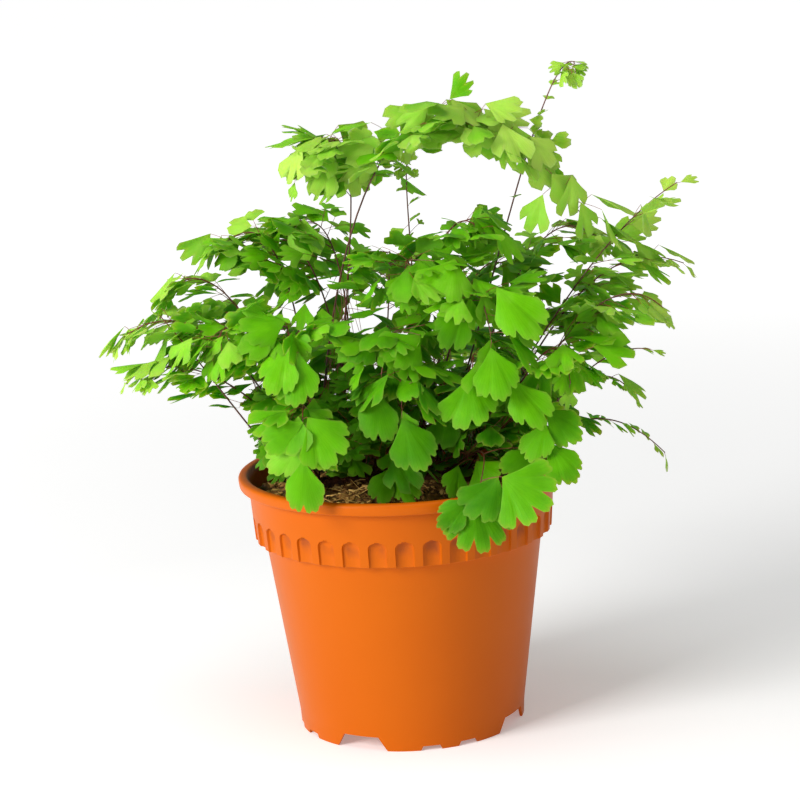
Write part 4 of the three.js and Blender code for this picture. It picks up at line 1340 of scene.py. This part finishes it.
# lobes, depth of the cuts, half spread in degrees, length at the sides, lean, arch, wave, teeth to a lobe,
# steps to a tooth, rings
LEAFLET_SHAPES = [
    (3, 0.12, 43, 0.62, 0.5, 0.12, 0.04, 3, 3, FINE_RINGS),
    (3, 0.18, 40, 0.60, -0.8, 0.16, -0.05, 3, 3, FINE_RINGS),
    (4, 0.15, 50, 0.74, 0.8, 0.10, 0.06, 2, 3, FINE_RINGS),
    (2, 0.16, 38, 0.56, -0.6, 0.14, -0.04, 4, 3, FINE_RINGS),
    (3, 0.22, 42, 0.68, 0.8, 0.12, 0.06, 2, 2, PLAIN_RINGS),
    (3, 0.30, 40, 0.74, -0.8, 0.18, -0.05, 2, 2, PLAIN_RINGS),
    (2, 0.20, 42, 0.60, 0.6, 0.10, 0.07, 3, 2, PLAIN_RINGS),
    (3, 0.36, 37, 0.80, 1.0, 0.24, 0.03, 2, 2, PLAIN_RINGS),
    (3, 0.16, 46, 0.62, -0.6, 0.08, -0.07, 2, 2, PLAIN_RINGS),
    (2, 0.22, 38, 0.80, 0.3, 0.14, 0.03, 1, 4, PLAIN_RINGS),
    (4, 0.28, 38, 0.76, -1.0, 0.20, 0.05, 1, 3, PLAIN_RINGS),
    (5, 0.26, 62, 0.80, 0.3, 0.12, 0.05, 2, 3, FINE_RINGS),
]
LARGE_SHAPES = (0, 1, 2, 3)
COMMON_SHAPES = (4, 5, 6, 7, 8, 10)
YOUNG_SHAPE = 9
BROAD_SHAPE = 11
LEAFLETS = collection_of("leaflet", [leaflet_mesh(*shape) for shape in LEAFLET_SHAPES])

# %% [markdown]
# ## Filling the fronds
# The leaflets of the loaded solids come first, each where it is. Then the sprays are filled out, as on the
# plant: smaller leaflets to either side of each stalk, and more sprays between. A new leaflet is tried in a
# few turns, and left out if it meets another in all of them. Leaflets of the solids stay in any case. Two are
# taken to meet if the discs in their middles meet, which is quick to test against all the others at once, but
# misses some that cut through each other near their edges.

# %% The meeting test
DISC_CENTRE = 0.58  # of a leaflet's length
DISC_RADIUS = 0.3
NEARLY_FLAT = 0.08  # two discs that are turned by less are treated as turned by this much


class Canopy:
    """All leaflets so far, as discs."""

    def __init__(self):
        self.discs = np.zeros((0, 7))

    def meets(self, centre, normal, radius):
        """Each disc cuts the other's plane in a chord, and they meet where the chords overlap."""
        gap = self.discs[:, :3] - centre
        near = (gap**2).sum(1) < (self.discs[:, 6] + radius) ** 2
        if not near.any():
            return False
        gap, normals, radii = gap[near], self.discs[near, 3:6], self.discs[near, 6]
        line = np.cross(normals, normal)
        slope = np.maximum(np.sqrt((line**2).sum(1)), NEARLY_FLAT)
        here = np.abs((gap * normals).sum(1)) / slope
        there = np.abs(gap @ normal) / slope
        chord = np.sqrt(np.maximum(radius**2 - here**2, 0)) + np.sqrt(np.maximum(radii**2 - there**2, 0))
        apart = np.abs((gap * line).sum(1)) / slope
        return bool(((here < radius) & (there < radii) & (apart < chord)).any())

    def add(self, centre, normal, radius):
        self.discs = np.vstack([self.discs, [*centre, *normal, radius]])


CANOPY = Canopy()

# %% [markdown]
# The finished plant has to stay about as large as the loaded solids. So an extra leaflet at the edge of the
# foliage may reach only a little way out of them, and one deep inside isn't held back.

# %% Leaflet records
OUTSIDE = 7  # mm that an extra leaflet may reach out of the loaded solids, at the edge of the foliage
OUTSIDE_ARCH = 5  # mm more, at the arch on top
EDGE_RADIUS = 78
EDGE_Z = 262
ARCH_Z = EDGE_Z + 30
TOP_Z = 339


def vertex_finder(nodes):
    vertices = [vertex.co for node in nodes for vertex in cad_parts[node].data.vertices]
    finder = KDTree(len(vertices))
    for i, place in enumerate(vertices):
        finder.insert(in_millimetres(place), i)
    finder.balance()
    return finder


SOLIDS = vertex_finder("frond_" + row["name"] for row in FRONDS)


def reaches_out(point):
    if point.z > TOP_Z:
        return True
    at_edge = math.hypot(point.x, point.y) > EDGE_RADIUS or point.z > EDGE_Z
    return at_edge and SOLIDS.find(point)[2] > OUTSIDE + (OUTSIDE_ARCH if point.z > ARCH_Z else 0)


def leaflet(row, root, along, width, length, shape, tone, tries=(), needed=True):
    """Adds a leaflet to a frond, in the first of its turns that is clear. Returns whether it was added."""
    normal = width.cross(along).normalized()
    for twist, droop in ((0, 0), *tries):
        new_along = turned_by(along, width, -droop)
        new_width = turned_by(width, new_along, twist)
        new_normal = new_width.cross(new_along).normalized()
        centre = root + new_along * DISC_CENTRE * length
        if not needed and reaches_out(root + new_along * length):
            continue
        if not CANOPY.meets(np.array(centre), np.array(new_normal), DISC_RADIUS * length):
            along, width, normal = new_along, new_width, new_normal
            break
    else:
        if not needed:
            return False
    centre = root + along * DISC_CENTRE * length
    CANOPY.add(centre, normal, DISC_RADIUS * length)
    row["leaflets"].append((root, along, width, normal, length, shape, tone))
    return True


# %% [markdown]
# Every stem, spray stalk and leaflet stalk is a line of points with a thickness, and Geometry Nodes give them
# their round section later. The stalk of a large leaflet in front starts at about the nearest place on its
# stem.


# %% Stalk lines
def curve_points(start, middle, end, steps):
    """A line that leaves the start towards the middle and arrives at the end."""
    shares = (i / steps for i in range(steps + 1))
    return [start * (1 - t) ** 2 + middle * 2 * t * (1 - t) + end * t * t for t in shares]


YOUNGER = 0.45  # how much younger a stem or stalk is at its thin end


def stalk(row, points, thick, thin, young):
    """A stem or stalk, from its thick end to its thin one."""
    last = len(points) - 1
    for i, point in enumerate(points):
        share = i / last
        row["stalks"].append((point, thick + (thin - thick) * share, young + YOUNGER * share, i > 0))


STIPE_RADIUS = 0.62
TIP_RADIUS = 0.26
STALK_RADIUS = 0.24
FINE_RADIUS = 0.13
STIPE_SUNK = 4
STIPE_STEPS = 30
STIPE_END = 0.975  # where the leaflet that ends a stem has its root
BLADE_OVERLAP = 0.4  # mm that a stalk reaches into its leaflet


def main_stem(row):
    end = STIPE_END if row["nodes"] else 1.0
    start = row["foot"] - (row["rise"] - row["foot"]).normalized() * STIPE_SUNK
    points = [start] + [stem_point(row, end * i / STIPE_STEPS) for i in range(STIPE_STEPS + 1)]
    stalk(row, points, STIPE_RADIUS, TIP_RADIUS, 0.0)


def stalk_joint(row, root, levelling=0.0):
    """The place on a stem that is nearest to a leaflet's root. Levelling favours one at the same height."""
    places = (stem_point(row, 0.3 + 0.01 * k) for k in range(70))
    return min(places, key=lambda point: (point - root).length + levelling * abs(point.z - root.z))


def in_last_leaflet(row, root):
    """A point just inside the newest leaflet, where its stalk ends."""
    return root + row["leaflets"][-1][1] * BLADE_OVERLAP


# %% [markdown]
# The tone of a leaflet follows where it is, with a draw of its own. It is brighter near the top, partly
# because young leaflets grow there and partly as painted light, brighter towards the outer edge of the
# foliage, where the tips of the stems are, as painted light, and darker low in the middle as painted shade.

# %% Tones and turns
GROWTH = random.Random(29)
YOUNG_FRONDS = ("tall_young", "inner_young")
CROWN_FRONDS = ("top_arch", "top_left")
CROWN_Z = 284  # the stems of the crown are bare below
YOUNG_TONE = 0.8
# how much brighter the large leaflets of a frond are, and those of all the others
FAN_LIFTS = {"top_arch": -0.5, "front_left": 0.02, "rim_right": -0.26, "rim_small": 0.1, "soil_small": 0.1}
OTHER_FANS_LIFT = -0.1
OTHER_SEEN_LIFT = 0.05
# twist and droop in radians
TURNS = [(0.5, 0), (-0.5, 0), (0, 0.4), (0, -0.4), (0.9, 0.2), (-0.9, 0.2), (0.4, -0.5), (-0.4, 0.6)]


def tone_at(row, point, lift=0.0):
    if row["name"] in YOUNG_FRONDS:
        return YOUNG_TONE
    if row["name"] in CROWN_FRONDS:
        lift += GROWTH.uniform(-0.02, 0.34)
    height = max(0.0, (point.z - 170) / 130)
    outward = math.hypot(point.x, point.y + 10) / 130
    # Height brightens partly for youth and partly as painted light; distance from the middle brightens as
    # painted light.
    tone = 0.2 + 0.36 * height**1.5 + 0.6 * outward**2 + lift + GROWTH.uniform(-0.17, 0.17)
    return min(1.0, max(0.02, tone))


# %% [markdown]
# The large leaflets in front shape the picture most, so each has its place in the fronds' plan. Its exact
# turn is found on the loaded solid, and it hangs on a stalk of its own.

# %% Fans: the large leaflets that face the viewer
TO_VIEWER = Vector((0.1, -1, 0.45))
FAN_SCALE = 1.1


def fan_leaflet(row, index, number, finder):
    root, outer = (Vector(place) for place in row["fans"][number])
    along = (outer - root).normalized()
    width = along.cross(TO_VIEWER).normalized()
    seed = index * 100 + 90 + number
    plain = {
        "root": root, "along": along, "width": width, "size": (outer - root).length, "stalk": 0, "side": 1,
        "twist": 0.3 * (chance(seed) - 0.5),
    }
    spray = match_pose(plain, finder)
    if spray is None:
        row["missed"] += 1
        spray = posed(plain, POSES[0])
    joint = stalk_joint(row, root, levelling=0.4)
    bend = joint.lerp(root, 0.45) + Vector((0, 0, 0.16 * (root - joint).length))
    stalk(row, curve_points(joint, bend, root, 6), STALK_RADIUS, FINE_RADIUS, 0.25)
    broad = row["name"] == "rim_right" and number == 0
    shape = BROAD_SHAPE if broad else LARGE_SHAPES[int(4 * chance(seed + 3))]
    tone = tone_at(row, root, FAN_LIFTS.get(row["name"], OTHER_FANS_LIFT))
    leaflet(row, root, spray["along"], spray["width"], spray["size"] * FAN_SCALE, shape, tone)


# %% [markdown]
# The photograph shows a few more leaflets than the solids have: on the rim at the right, on top of the arch
# and beside the tall stem. Each is given by its root and its outer end, and stands on its own stalk.

# %% Leaflets seen in the photograph
# root, outer end, shape and scale
SEEN_LEAFLETS = {
    "rim_right": [
        ((47, -87, 148), (40, -98, 129), 2, 1.1), ((49, -87, 148), (71, -98, 137), BROAD_SHAPE, 1.1),
    ],
    "top_arch": [((34, -8, 325), (47, -10, 334), 10, 1.0)],
    "tall_young": [
        ((75, 2, 298), (82, -2, 306), 4, 1.2), ((76, 2, 296), (83, -1, 293), 6, 1.2),
        ((83, -1, 297), (89, -4, 288), 4, 1.1), ((84, -1, 300), (96, -4, 305), 6, 0.9),
        ((74, 0, 312), (81, -4, 312), YOUNG_SHAPE, 1.0),
    ],
}
COVERED_FANS = {("rim_right", 1)}  # the large leaflet at its place stands in for it


def seen_leaflet(row, root, outer, shape, scale):
    root, outer = Vector(root), Vector(outer)
    joint = stalk_joint(row, root)
    bend = joint.lerp(root, 0.5) + Vector((0, 0, 1))
    stalk(row, curve_points(joint, bend, root, 5), FINE_RADIUS * 1.3, FINE_RADIUS, 0.4)
    along = (outer - root).normalized()
    width = along.cross(TO_VIEWER).normalized()
    tone = tone_at(row, root, FAN_LIFTS.get(row["name"], OTHER_SEEN_LIFT))
    leaflet(row, root, along, width, (outer - root).length * scale, shape, tone)


# %% [markdown]
# A spray's stalk bows down a little towards its end. Its leaflets stand to either side of it in turn, at
# about sixty degrees, each on a fine stalk of its own, and one leaflet ends it.

# %% Sprays
SIDE_STEP = 0.42  # between leaflets along a stalk, of a full leaflet's length
FIRST_SIDE = 0.2  # from the stem to the first of them
SIDE_ANGLE_DEG = 58
FINE_STALK = 2.2
SPRAY_STEPS = 6


def fill_spray(row, spray, needed=True):
    """The stalk and the leaflets of one spray. Returns whether it was grown."""
    grow_one = stalked_spray if spray["stalk"] else single_leaflet
    return grow_one(row, spray, stem_point(row, spray["t"]), () if needed else TURNS, needed)


def stalked_spray(row, spray, root, tries, needed):
    along, width, normal, size = spray["along"], spray["width"], spray["normal"], spray["size"]
    reach = spray["stalk"] + size

    def on_stalk(y):
        return root + along * y - normal * (SPRAY_SAG * y * y / reach)

    end = on_stalk(spray["stalk"])
    slope = turned_by(along, width, -math.atan(2 * SPRAY_SAG * spray["stalk"] / reach))
    shape = GROWTH.choice(COMMON_SHAPES)
    tone = tone_at(row, end)
    if not leaflet(row, end + slope * 1.2, slope, width, size * 1.02, shape, tone, tries, needed):
        return False
    line = [on_stalk(spray["stalk"] * i / SPRAY_STEPS) for i in range(SPRAY_STEPS + 1)]
    stalk(row, [*line, end + slope * 1.4], STALK_RADIUS, FINE_RADIUS, 0.3)
    side, y = spray["side"], spray["stalk"] - SIDE_STEP * size
    while y > FIRST_SIDE * size:
        side_leaflet(row, on_stalk(y), along, normal, side, size)
        side, y = -side, y - SIDE_STEP * size
    return True


def side_leaflet(row, start, along, normal, side, size):
    heading = turned_by(along, normal, -side * math.radians(SIDE_ANGLE_DEG + GROWTH.uniform(-8, 8)))
    tip = start + heading * FINE_STALK + along * 0.5
    face = turned_by(heading.cross(normal), heading, GROWTH.uniform(-0.3, 0.3))
    length = size * GROWTH.uniform(0.85, 1.1)
    shape = GROWTH.choice(COMMON_SHAPES)
    if leaflet(row, tip, heading, face, length, shape, tone_at(row, tip), TURNS, False):
        line = [start, tip - heading * 0.8, in_last_leaflet(row, tip)]
        stalk(row, line, FINE_RADIUS, FINE_RADIUS * 0.7, 0.5)


def single_leaflet(row, spray, root, tries, needed):
    """A spray that is only one leaflet on a short stalk."""
    along, size = spray["along"], spray["size"]
    petiole = min(3.0, 0.18 * size)
    start = root + along * petiole
    young = row["name"] in YOUNG_FRONDS and GROWTH.random() < 0.5
    shape = YOUNG_SHAPE if young else GROWTH.choice(COMMON_SHAPES)
    tone = tone_at(row, start)
    if not leaflet(row, start, along, spray["width"], size - petiole, shape, tone, tries, needed):
        return False
    line = [root, root + along * petiole * 0.6, in_last_leaflet(row, start)]
    stalk(row, line, FINE_RADIUS, FINE_RADIUS * 0.8, 0.4)
    return True


# %% [markdown]
# Between the sprays, single leaflets on long fine stalks hang outwards and down, like shingles. They close
# the canopy and shade the bare feet of the stems. Low in the middle they are darker, as painted shade.

# %% Hanging leaflets
HANGING_EVERY = 5.0  # mm along a stem


def between(low, high):
    return GROWTH.uniform(low, high)


def stalked_leaflet(row, start, root, along, width, length, tone):
    """A single leaflet on a thin bowed stalk from a stem. Returns whether there was room for it."""
    if not leaflet(row, root, along, width, length, GROWTH.choice(COMMON_SHAPES), tone, TURNS, False):
        return False
    bend = start.lerp(root, 0.5) + Vector((0, 0, 0.08 * (root - start).length))
    stalk(row, curve_points(start, bend, in_last_leaflet(row, root), 4), FINE_RADIUS * 1.2, FINE_RADIUS, 0.4)
    return True


def away_from_middle(point, waver):
    turn = between(0, 2 * math.pi)
    outward = Vector((point.x / 70, (point.y + 4) / 60, 0))
    return (outward + Vector((math.cos(turn), math.sin(turn), 0)) * waver).normalized()


def crown_leaflet(row, t):
    """A large leaflet of the arch at the top, that hangs down and faces the viewer."""
    start = stem_point(row, t)
    side = between(-1, 1)
    root = start + Vector((8 * side, -between(2, 12), between(-8, 9)))
    along = Vector((side, -0.25, -between(0.1, 1.4))).normalized()
    width = along.cross(Vector((between(-0.4, 0.4), -1, between(0.1, 0.9)))).normalized()
    return stalked_leaflet(row, start, root, along, width, between(18, 25), tone_at(row, root))


def hang_leaflet(row, t):
    """A leaflet that hangs outwards, unless its root would be low over the pot or low outside its rim."""
    start = stem_point(row, t)
    outward = away_from_middle(start, 0.9)
    highest = 11 if row["name"] in CROWN_FRONDS else 7
    root = start + outward * between(3, 15) + Vector((0, 0, between(-5, highest)))
    distance = math.hypot(root.x, root.y)
    if distance < 84 and root.z < 150 or distance > 75 and root.z < 178:
        return False
    along = (outward + Vector((0, 0, -between(-0.1, 1.1)))).normalized()
    width = along.cross(outward + Vector((0, 0, between(0.4, 1.8)))).normalized()
    # Low in the middle, a hanging leaflet is made darker as painted shade.
    shaded = root.z < 200 and abs(root.x) < 85
    length = between(19, 26) if row["name"] in CROWN_FRONDS else between(17, 25)
    return stalked_leaflet(row, start, root, along, width, length, tone_at(row, root, -0.15 if shaded else 0))


# %% [markdown]
# The young stems bear small bright leaflets on their upper part. Small ones, dark as painted shade, fill
# gaps low among the other stems.

# %% Young and low leaflets
LOW_Z = (134, 184)


def young_leaflet(row, t):
    """A small bright leaflet of a young stem, that faces out to the light."""
    start = stem_point(row, t)
    side = Vector((between(-1, 1), between(-0.5, 0.5), between(-0.9, 0.4))).normalized()
    face = Vector((between(-0.5, 0.5), -1, between(-0.2, 0.8)))
    root = start + side * between(1.5, 9)
    tone = between(0.6, 0.95)
    return stalked_leaflet(row, start, root, side, side.cross(face).normalized(), between(5.5, 10), tone)


def low_leaflet(row):
    """A small leaflet on a short stalk, low among the stems, made dark as painted shade."""
    start = stem_point(row, between(0.08, 0.36))
    outward = away_from_middle(start, 1.5)
    root = start + outward * between(5, 26)
    root.z = between(*LOW_Z)
    length = between(10, 17)
    along = (outward + Vector((0, 0, between(-0.7, 0.5)))).normalized()
    outer = root + along * length
    bare_mix_in_front = outer.y < -30 and outer.z < 152
    if outer.z < 146 and math.hypot(outer.x, outer.y) > 73 or outer.z < 130 or bare_mix_in_front:
        return False
    width = along.cross(outward * 0.6 + Vector((0, -0.3, 0.8))).normalized()
    # The low tone of these leaflets is painted shade.
    return stalked_leaflet(row, start, root, along, width, length, between(0.02, 0.26))


# %% [markdown]
# The order matters, because what comes first takes the room: the leaflets of the loaded solids and those seen
# in the photograph, then the sprays between them, and then the hanging and the low ones of each frond. The
# crown has more leaflets and bare stems below it, and the young fronds have small ones instead.

# %% Grow all the fronds
CROWN_DENSITY = 3.4  # times the hanging leaflets of another frond
CROWN_SHARE = 0.55  # of a crown frond's hanging leaflets that face the viewer
BARE_SHARE = 0.55  # of a crown stem, below which it is bare up to the crown's height
HANGING_END = 0.97
LOW_LEAFLETS = 24  # tries for each frond
YOUNG_PLACES = (0.6, 0.63, 0.66, 0.8, 0.83, 0.86, 0.9, 0.92, 0.94, 0.95, 0.96, 0.97, 0.98, 0.99, 1.0)


def grow_loaded_leaflets():
    for index, row in enumerate(FRONDS):
        row.update(leaflets=[], stalks=[], missed=0)
        main_stem(row)
        finder = vertex_finder(["frond_" + row["name"]])
        for number in range(len(row["fans"])):
            if (row["name"], number) not in COVERED_FANS:
                fan_leaflet(row, index, number, finder)
        for seen in SEEN_LEAFLETS.get(row["name"], ()):
            seen_leaflet(row, *seen)
        for i in range(row["nodes"]):
            spray = match_pose(spray_rule(row, index, i), finder)
            if spray is None:
                row["missed"] += 1
            else:
                fill_spray(row, spray)


def grow_sprays_between():
    for index, row in enumerate(FRONDS):
        for i in range(row["nodes"] - 1):
            plain = spray_rule(row, index, i + 0.5)
            plain["stalk"] *= 0.9
            for pose in FULL_SIZE_POSES:
                if fill_spray(row, posed(plain, pose), needed=False):
                    break


def grow_hanging_leaflets(row):
    in_crown = row["name"] in CROWN_FRONDS
    points = [stem_point(row, i / 20) for i in range(21)]
    long = sum((b - a).length for a, b in zip(points, points[1:]))
    every = HANGING_EVERY / (CROWN_DENSITY if in_crown else 1) / long
    t = max(0.22, row["leafy"] - 0.2)
    while t < HANGING_END:
        bare = in_crown and t < BARE_SHARE and stem_point(row, t).z < CROWN_Z
        if not bare:
            hang = crown_leaflet if in_crown and GROWTH.random() < CROWN_SHARE else hang_leaflet
            hang(row, t)
        t += every


grow_loaded_leaflets()
grow_sprays_between()
for row in FRONDS:
    if row["name"] in YOUNG_FRONDS:
        for t in YOUNG_PLACES:
            young_leaflet(row, t)
    elif "wire" not in row["name"]:
        grow_hanging_leaflets(row)
        for _ in range(LOW_LEAFLETS):
            low_leaflet(row)
grown = sum(len(row["leaflets"]) for row in FRONDS)
print(f"{grown} leaflets, {sum(row['missed'] for row in FRONDS)} sprays not found on the solids")

# %% [markdown]
# ## Leaflets and stems as meshes
# Two more trees turn the records into geometry. One sets a leaflet on each point, picks its shape and turns
# it by attributes. The other gives each line a round section as thick as its own attribute says.


# %% Leaflet and stem trees
def stored(tree, name, kind):
    """What the mesh stores under a name, for each point."""
    node = add_node(tree, "GeometryNodeInputNamedAttribute", {"Name": name}, data_type=kind)
    return next(s for s in node.outputs if s.enabled and s.name == "Attribute")


def leaflet_tree():
    tree, given, result = geometry_tree(
        "leaflets_on_points", [("Kinds", "NodeSocketCollection"), ("Finish", "NodeSocketMaterial")]
    )
    inputs = {
        "Primary Axis": stored(tree, "facing", "FLOAT_VECTOR"),
        "Secondary Axis": stored(tree, "outward", "FLOAT_VECTOR"),
    }
    turn = add_node(tree, "FunctionNodeAxesToRotation", inputs, primary_axis="Z", secondary_axis="Y")
    copies = copies_on_points(
        tree, given, given.outputs["Geometry"], stored(tree, "shape", "INT"), turn.outputs[0],
        stored(tree, "length", "FLOAT"),
    )
    real = add_node(tree, "GeometryNodeRealizeInstances", {"Geometry": copies})
    end_tree(tree, real.outputs[0], given, result)
    return tree


def stalk_tree():
    tree, given, result = geometry_tree(
        "round_stalks", [("Sides", "NodeSocketInt"), ("Finish", "NodeSocketMaterial")]
    )
    lines = add_node(tree, "GeometryNodeMeshToCurve", {"Mesh": given.outputs["Geometry"]})
    inputs = {"Resolution": given.outputs["Sides"], "Radius": 1.0}
    ring = add_node(tree, "GeometryNodeCurvePrimitiveCircle", inputs)
    inputs = {
        "Curve": lines.outputs[0], "Profile Curve": ring.outputs[0], "Fill Caps": True,
        "Scale": stored(tree, "thickness", "FLOAT"),
    }
    tubes = add_node(tree, "GeometryNodeCurveToMesh", inputs)
    real = add_node(tree, "GeometryNodeRealizeInstances", {"Geometry": tubes.outputs[0]})
    end_tree(tree, real.outputs[0], given, result)
    return tree


LEAFLET_TREE = leaflet_tree()
STALK_TREE = stalk_tree()


# %% [markdown]
# Each frond becomes two pieces in the place of its solid, the leaflets and the stems. Its records become
# points and lines that carry attributes, and the trees do the rest.

# %% Dress each frond
STALK_SIDES = 6


def dress_leaflets(row):
    roots, alongs, widths, normals, lengths, shapes, tones = zip(*row["leaflets"])
    mesh = mesh_from("leaflet_points", [in_frame(root) for root in roots])
    attach_values(mesh, "facing", [tuple(n) for n in normals], "FLOAT_VECTOR")
    attach_values(mesh, "outward", [tuple(a) for a in alongs], "FLOAT_VECTOR")
    attach_values(mesh, "length", [length * MM for length in lengths])
    attach_values(mesh, "shape", shapes, "INT")
    attach_values(mesh, "tone", tones)
    piece = grow(f"leaflets_{row['name']}", mesh, LEAFLET_TREE, Kinds=LEAFLETS, Finish=LEAF_GREEN)
    return finish_piece(piece, "frond_" + row["name"])


def dress_stalks(row):
    points, radii, young, joined = zip(*row["stalks"])
    edges = [(i - 1, i) for i in range(len(points)) if joined[i]]
    mesh = mesh_from("stalk_lines", [in_frame(point) for point in points], edges=edges)
    attach_values(mesh, "thickness", [radius * MM for radius in radii])
    attach_values(mesh, "young", young)
    piece = grow(f"stems_{row['name']}", mesh, STALK_TREE, Sides=STALK_SIDES, Finish=STEM_FINISH)
    smooth_up_to(piece.data, 80)
    return finish_piece(piece, "frond_" + row["name"])


frond_pieces = [dress(row) for row in FRONDS for dress in (dress_leaflets, dress_stalks)]
print(len(frond_pieces), "frond pieces,", sum(len(piece.data.polygons) for piece in frond_pieces), "faces")

# %% [markdown]
# ## Floor, light and camera
# A pale floor and a pale surround give soft light from all sides, one large lamp from the front left models
# the pot, and a second one lights the leaves from above. The camera is a little above the rim and looks
# slightly down, with a long lens, and leans by a few degrees as in the photograph.

# %% Floor and surround
NEAR_GLOW = 0.25  # the floor's own light under the pot and far from it, so that it stays pale
FAR_GLOW = 0.74
FLOOR_REACH = 400  # metres, so that its edge lies on the horizon
FLOOR_WHITE = rgb(246, 246, 245)
FLOOR_WHITER = rgb(249, 249, 248)
SURROUND_STRENGTH = 0.28
WHITE = (1, 1, 1, 1)


def pale_floor():
    material, tree, shader = new_material(
        "pale_floor", Roughness=0.9, Specular_IOR_Level=0.1, Emission_Color=WHITE
    )
    place = object_place(tree)
    from_plant = add_node(tree, "ShaderNodeVectorMath", {0: place}, operation="LENGTH")
    far_away = arithmetic(tree, "MULTIPLY_ADD", from_plant.outputs["Value"], 0.8, -0.3, clamp=True)
    glow = arithmetic(tree, "MULTIPLY_ADD", far_away, FAR_GLOW - NEAR_GLOW, NEAR_GLOW)
    tree.links.new(glow, shader.inputs["Emission Strength"])
    tone = place_group(tree, PATCHES, Place=place, Scale=3.0, Contrast=1.0)
    tree.links.new(blend_colours(tree, tone, FLOOR_WHITE, FLOOR_WHITER), shader.inputs["Base Color"])
    return material


floor_corners = [(x * FLOOR_REACH, y * FLOOR_REACH, 0) for x, y in ((-1, -1), (1, -1), (1, 1), (-1, 1))]
floor = add_object("floor", mesh_from("floor", floor_corners, [(0, 1, 2, 3)]))
floor.data.materials.append(pale_floor())

world = bpy.data.worlds.new("pale_surround")
world.use_nodes = True
surround = world.node_tree.nodes["Background"]
surround.inputs["Color"].default_value = WHITE
surround.inputs["Strength"].default_value = SURROUND_STRENGTH
bpy.context.scene.world = world
bpy.context.scene.view_settings.view_transform = "Standard"


# %% [markdown]
# Both lamps are squares with sides of 0.8 m, so that shadows are soft. The stronger one is at the front left,
# and the weaker one above.


# %% Lamps
def lamp(name, location, target, size, watts):
    data = bpy.data.lights.new(name, "AREA")
    data.size = size
    data.energy = watts
    light = add_object(name, data)
    light.location = location
    light.rotation_euler = (Vector(target) - Vector(location)).to_track_quat("-Z", "Y").to_euler()


lamp("front_left", (-1.3, -1.0, 0.85), (0, 0, 0.15), 0.8, 31)
lamp("overhead", (-0.1, -0.3, 1.4), (0, 0, 0.2), 0.8, 5)

# %% [markdown]
# The camera's distance, height and lean were fitted to the pot's rim, band and foot in the photograph. It is
# placed by a matrix of its own directions: to the right, up and backwards.

# %% Camera
LENS = 108
SENSOR_WIDTH = 36
DISTANCE = 1244.9  # mm, as is AIM
ELEVATION_DEG = 11.638
ROLL_DEG = -2.893
AIM = (1.434, 0, 170.57)


def make_camera():
    data = bpy.data.cameras.new("camera")
    data.lens = LENS
    data.sensor_width = SENSOR_WIDTH
    camera = add_object("camera", data)
    rise, roll = math.radians(ELEVATION_DEG), math.radians(ROLL_DEG)
    look = Vector((0, math.cos(rise), -math.sin(rise)))
    right = Vector((1, 0, 0))
    up = right.cross(look)
    rolled_right = right * math.cos(roll) + up * math.sin(roll)
    rolled_up = up * math.cos(roll) - right * math.sin(roll)
    spot = in_frame(Vector(AIM) - look * DISTANCE)
    turn = Matrix((rolled_right, rolled_up, -look)).transposed().to_4x4()
    camera.matrix_world = Matrix.Translation(spot) @ turn
    return camera


bpy.context.scene.camera = make_camera()
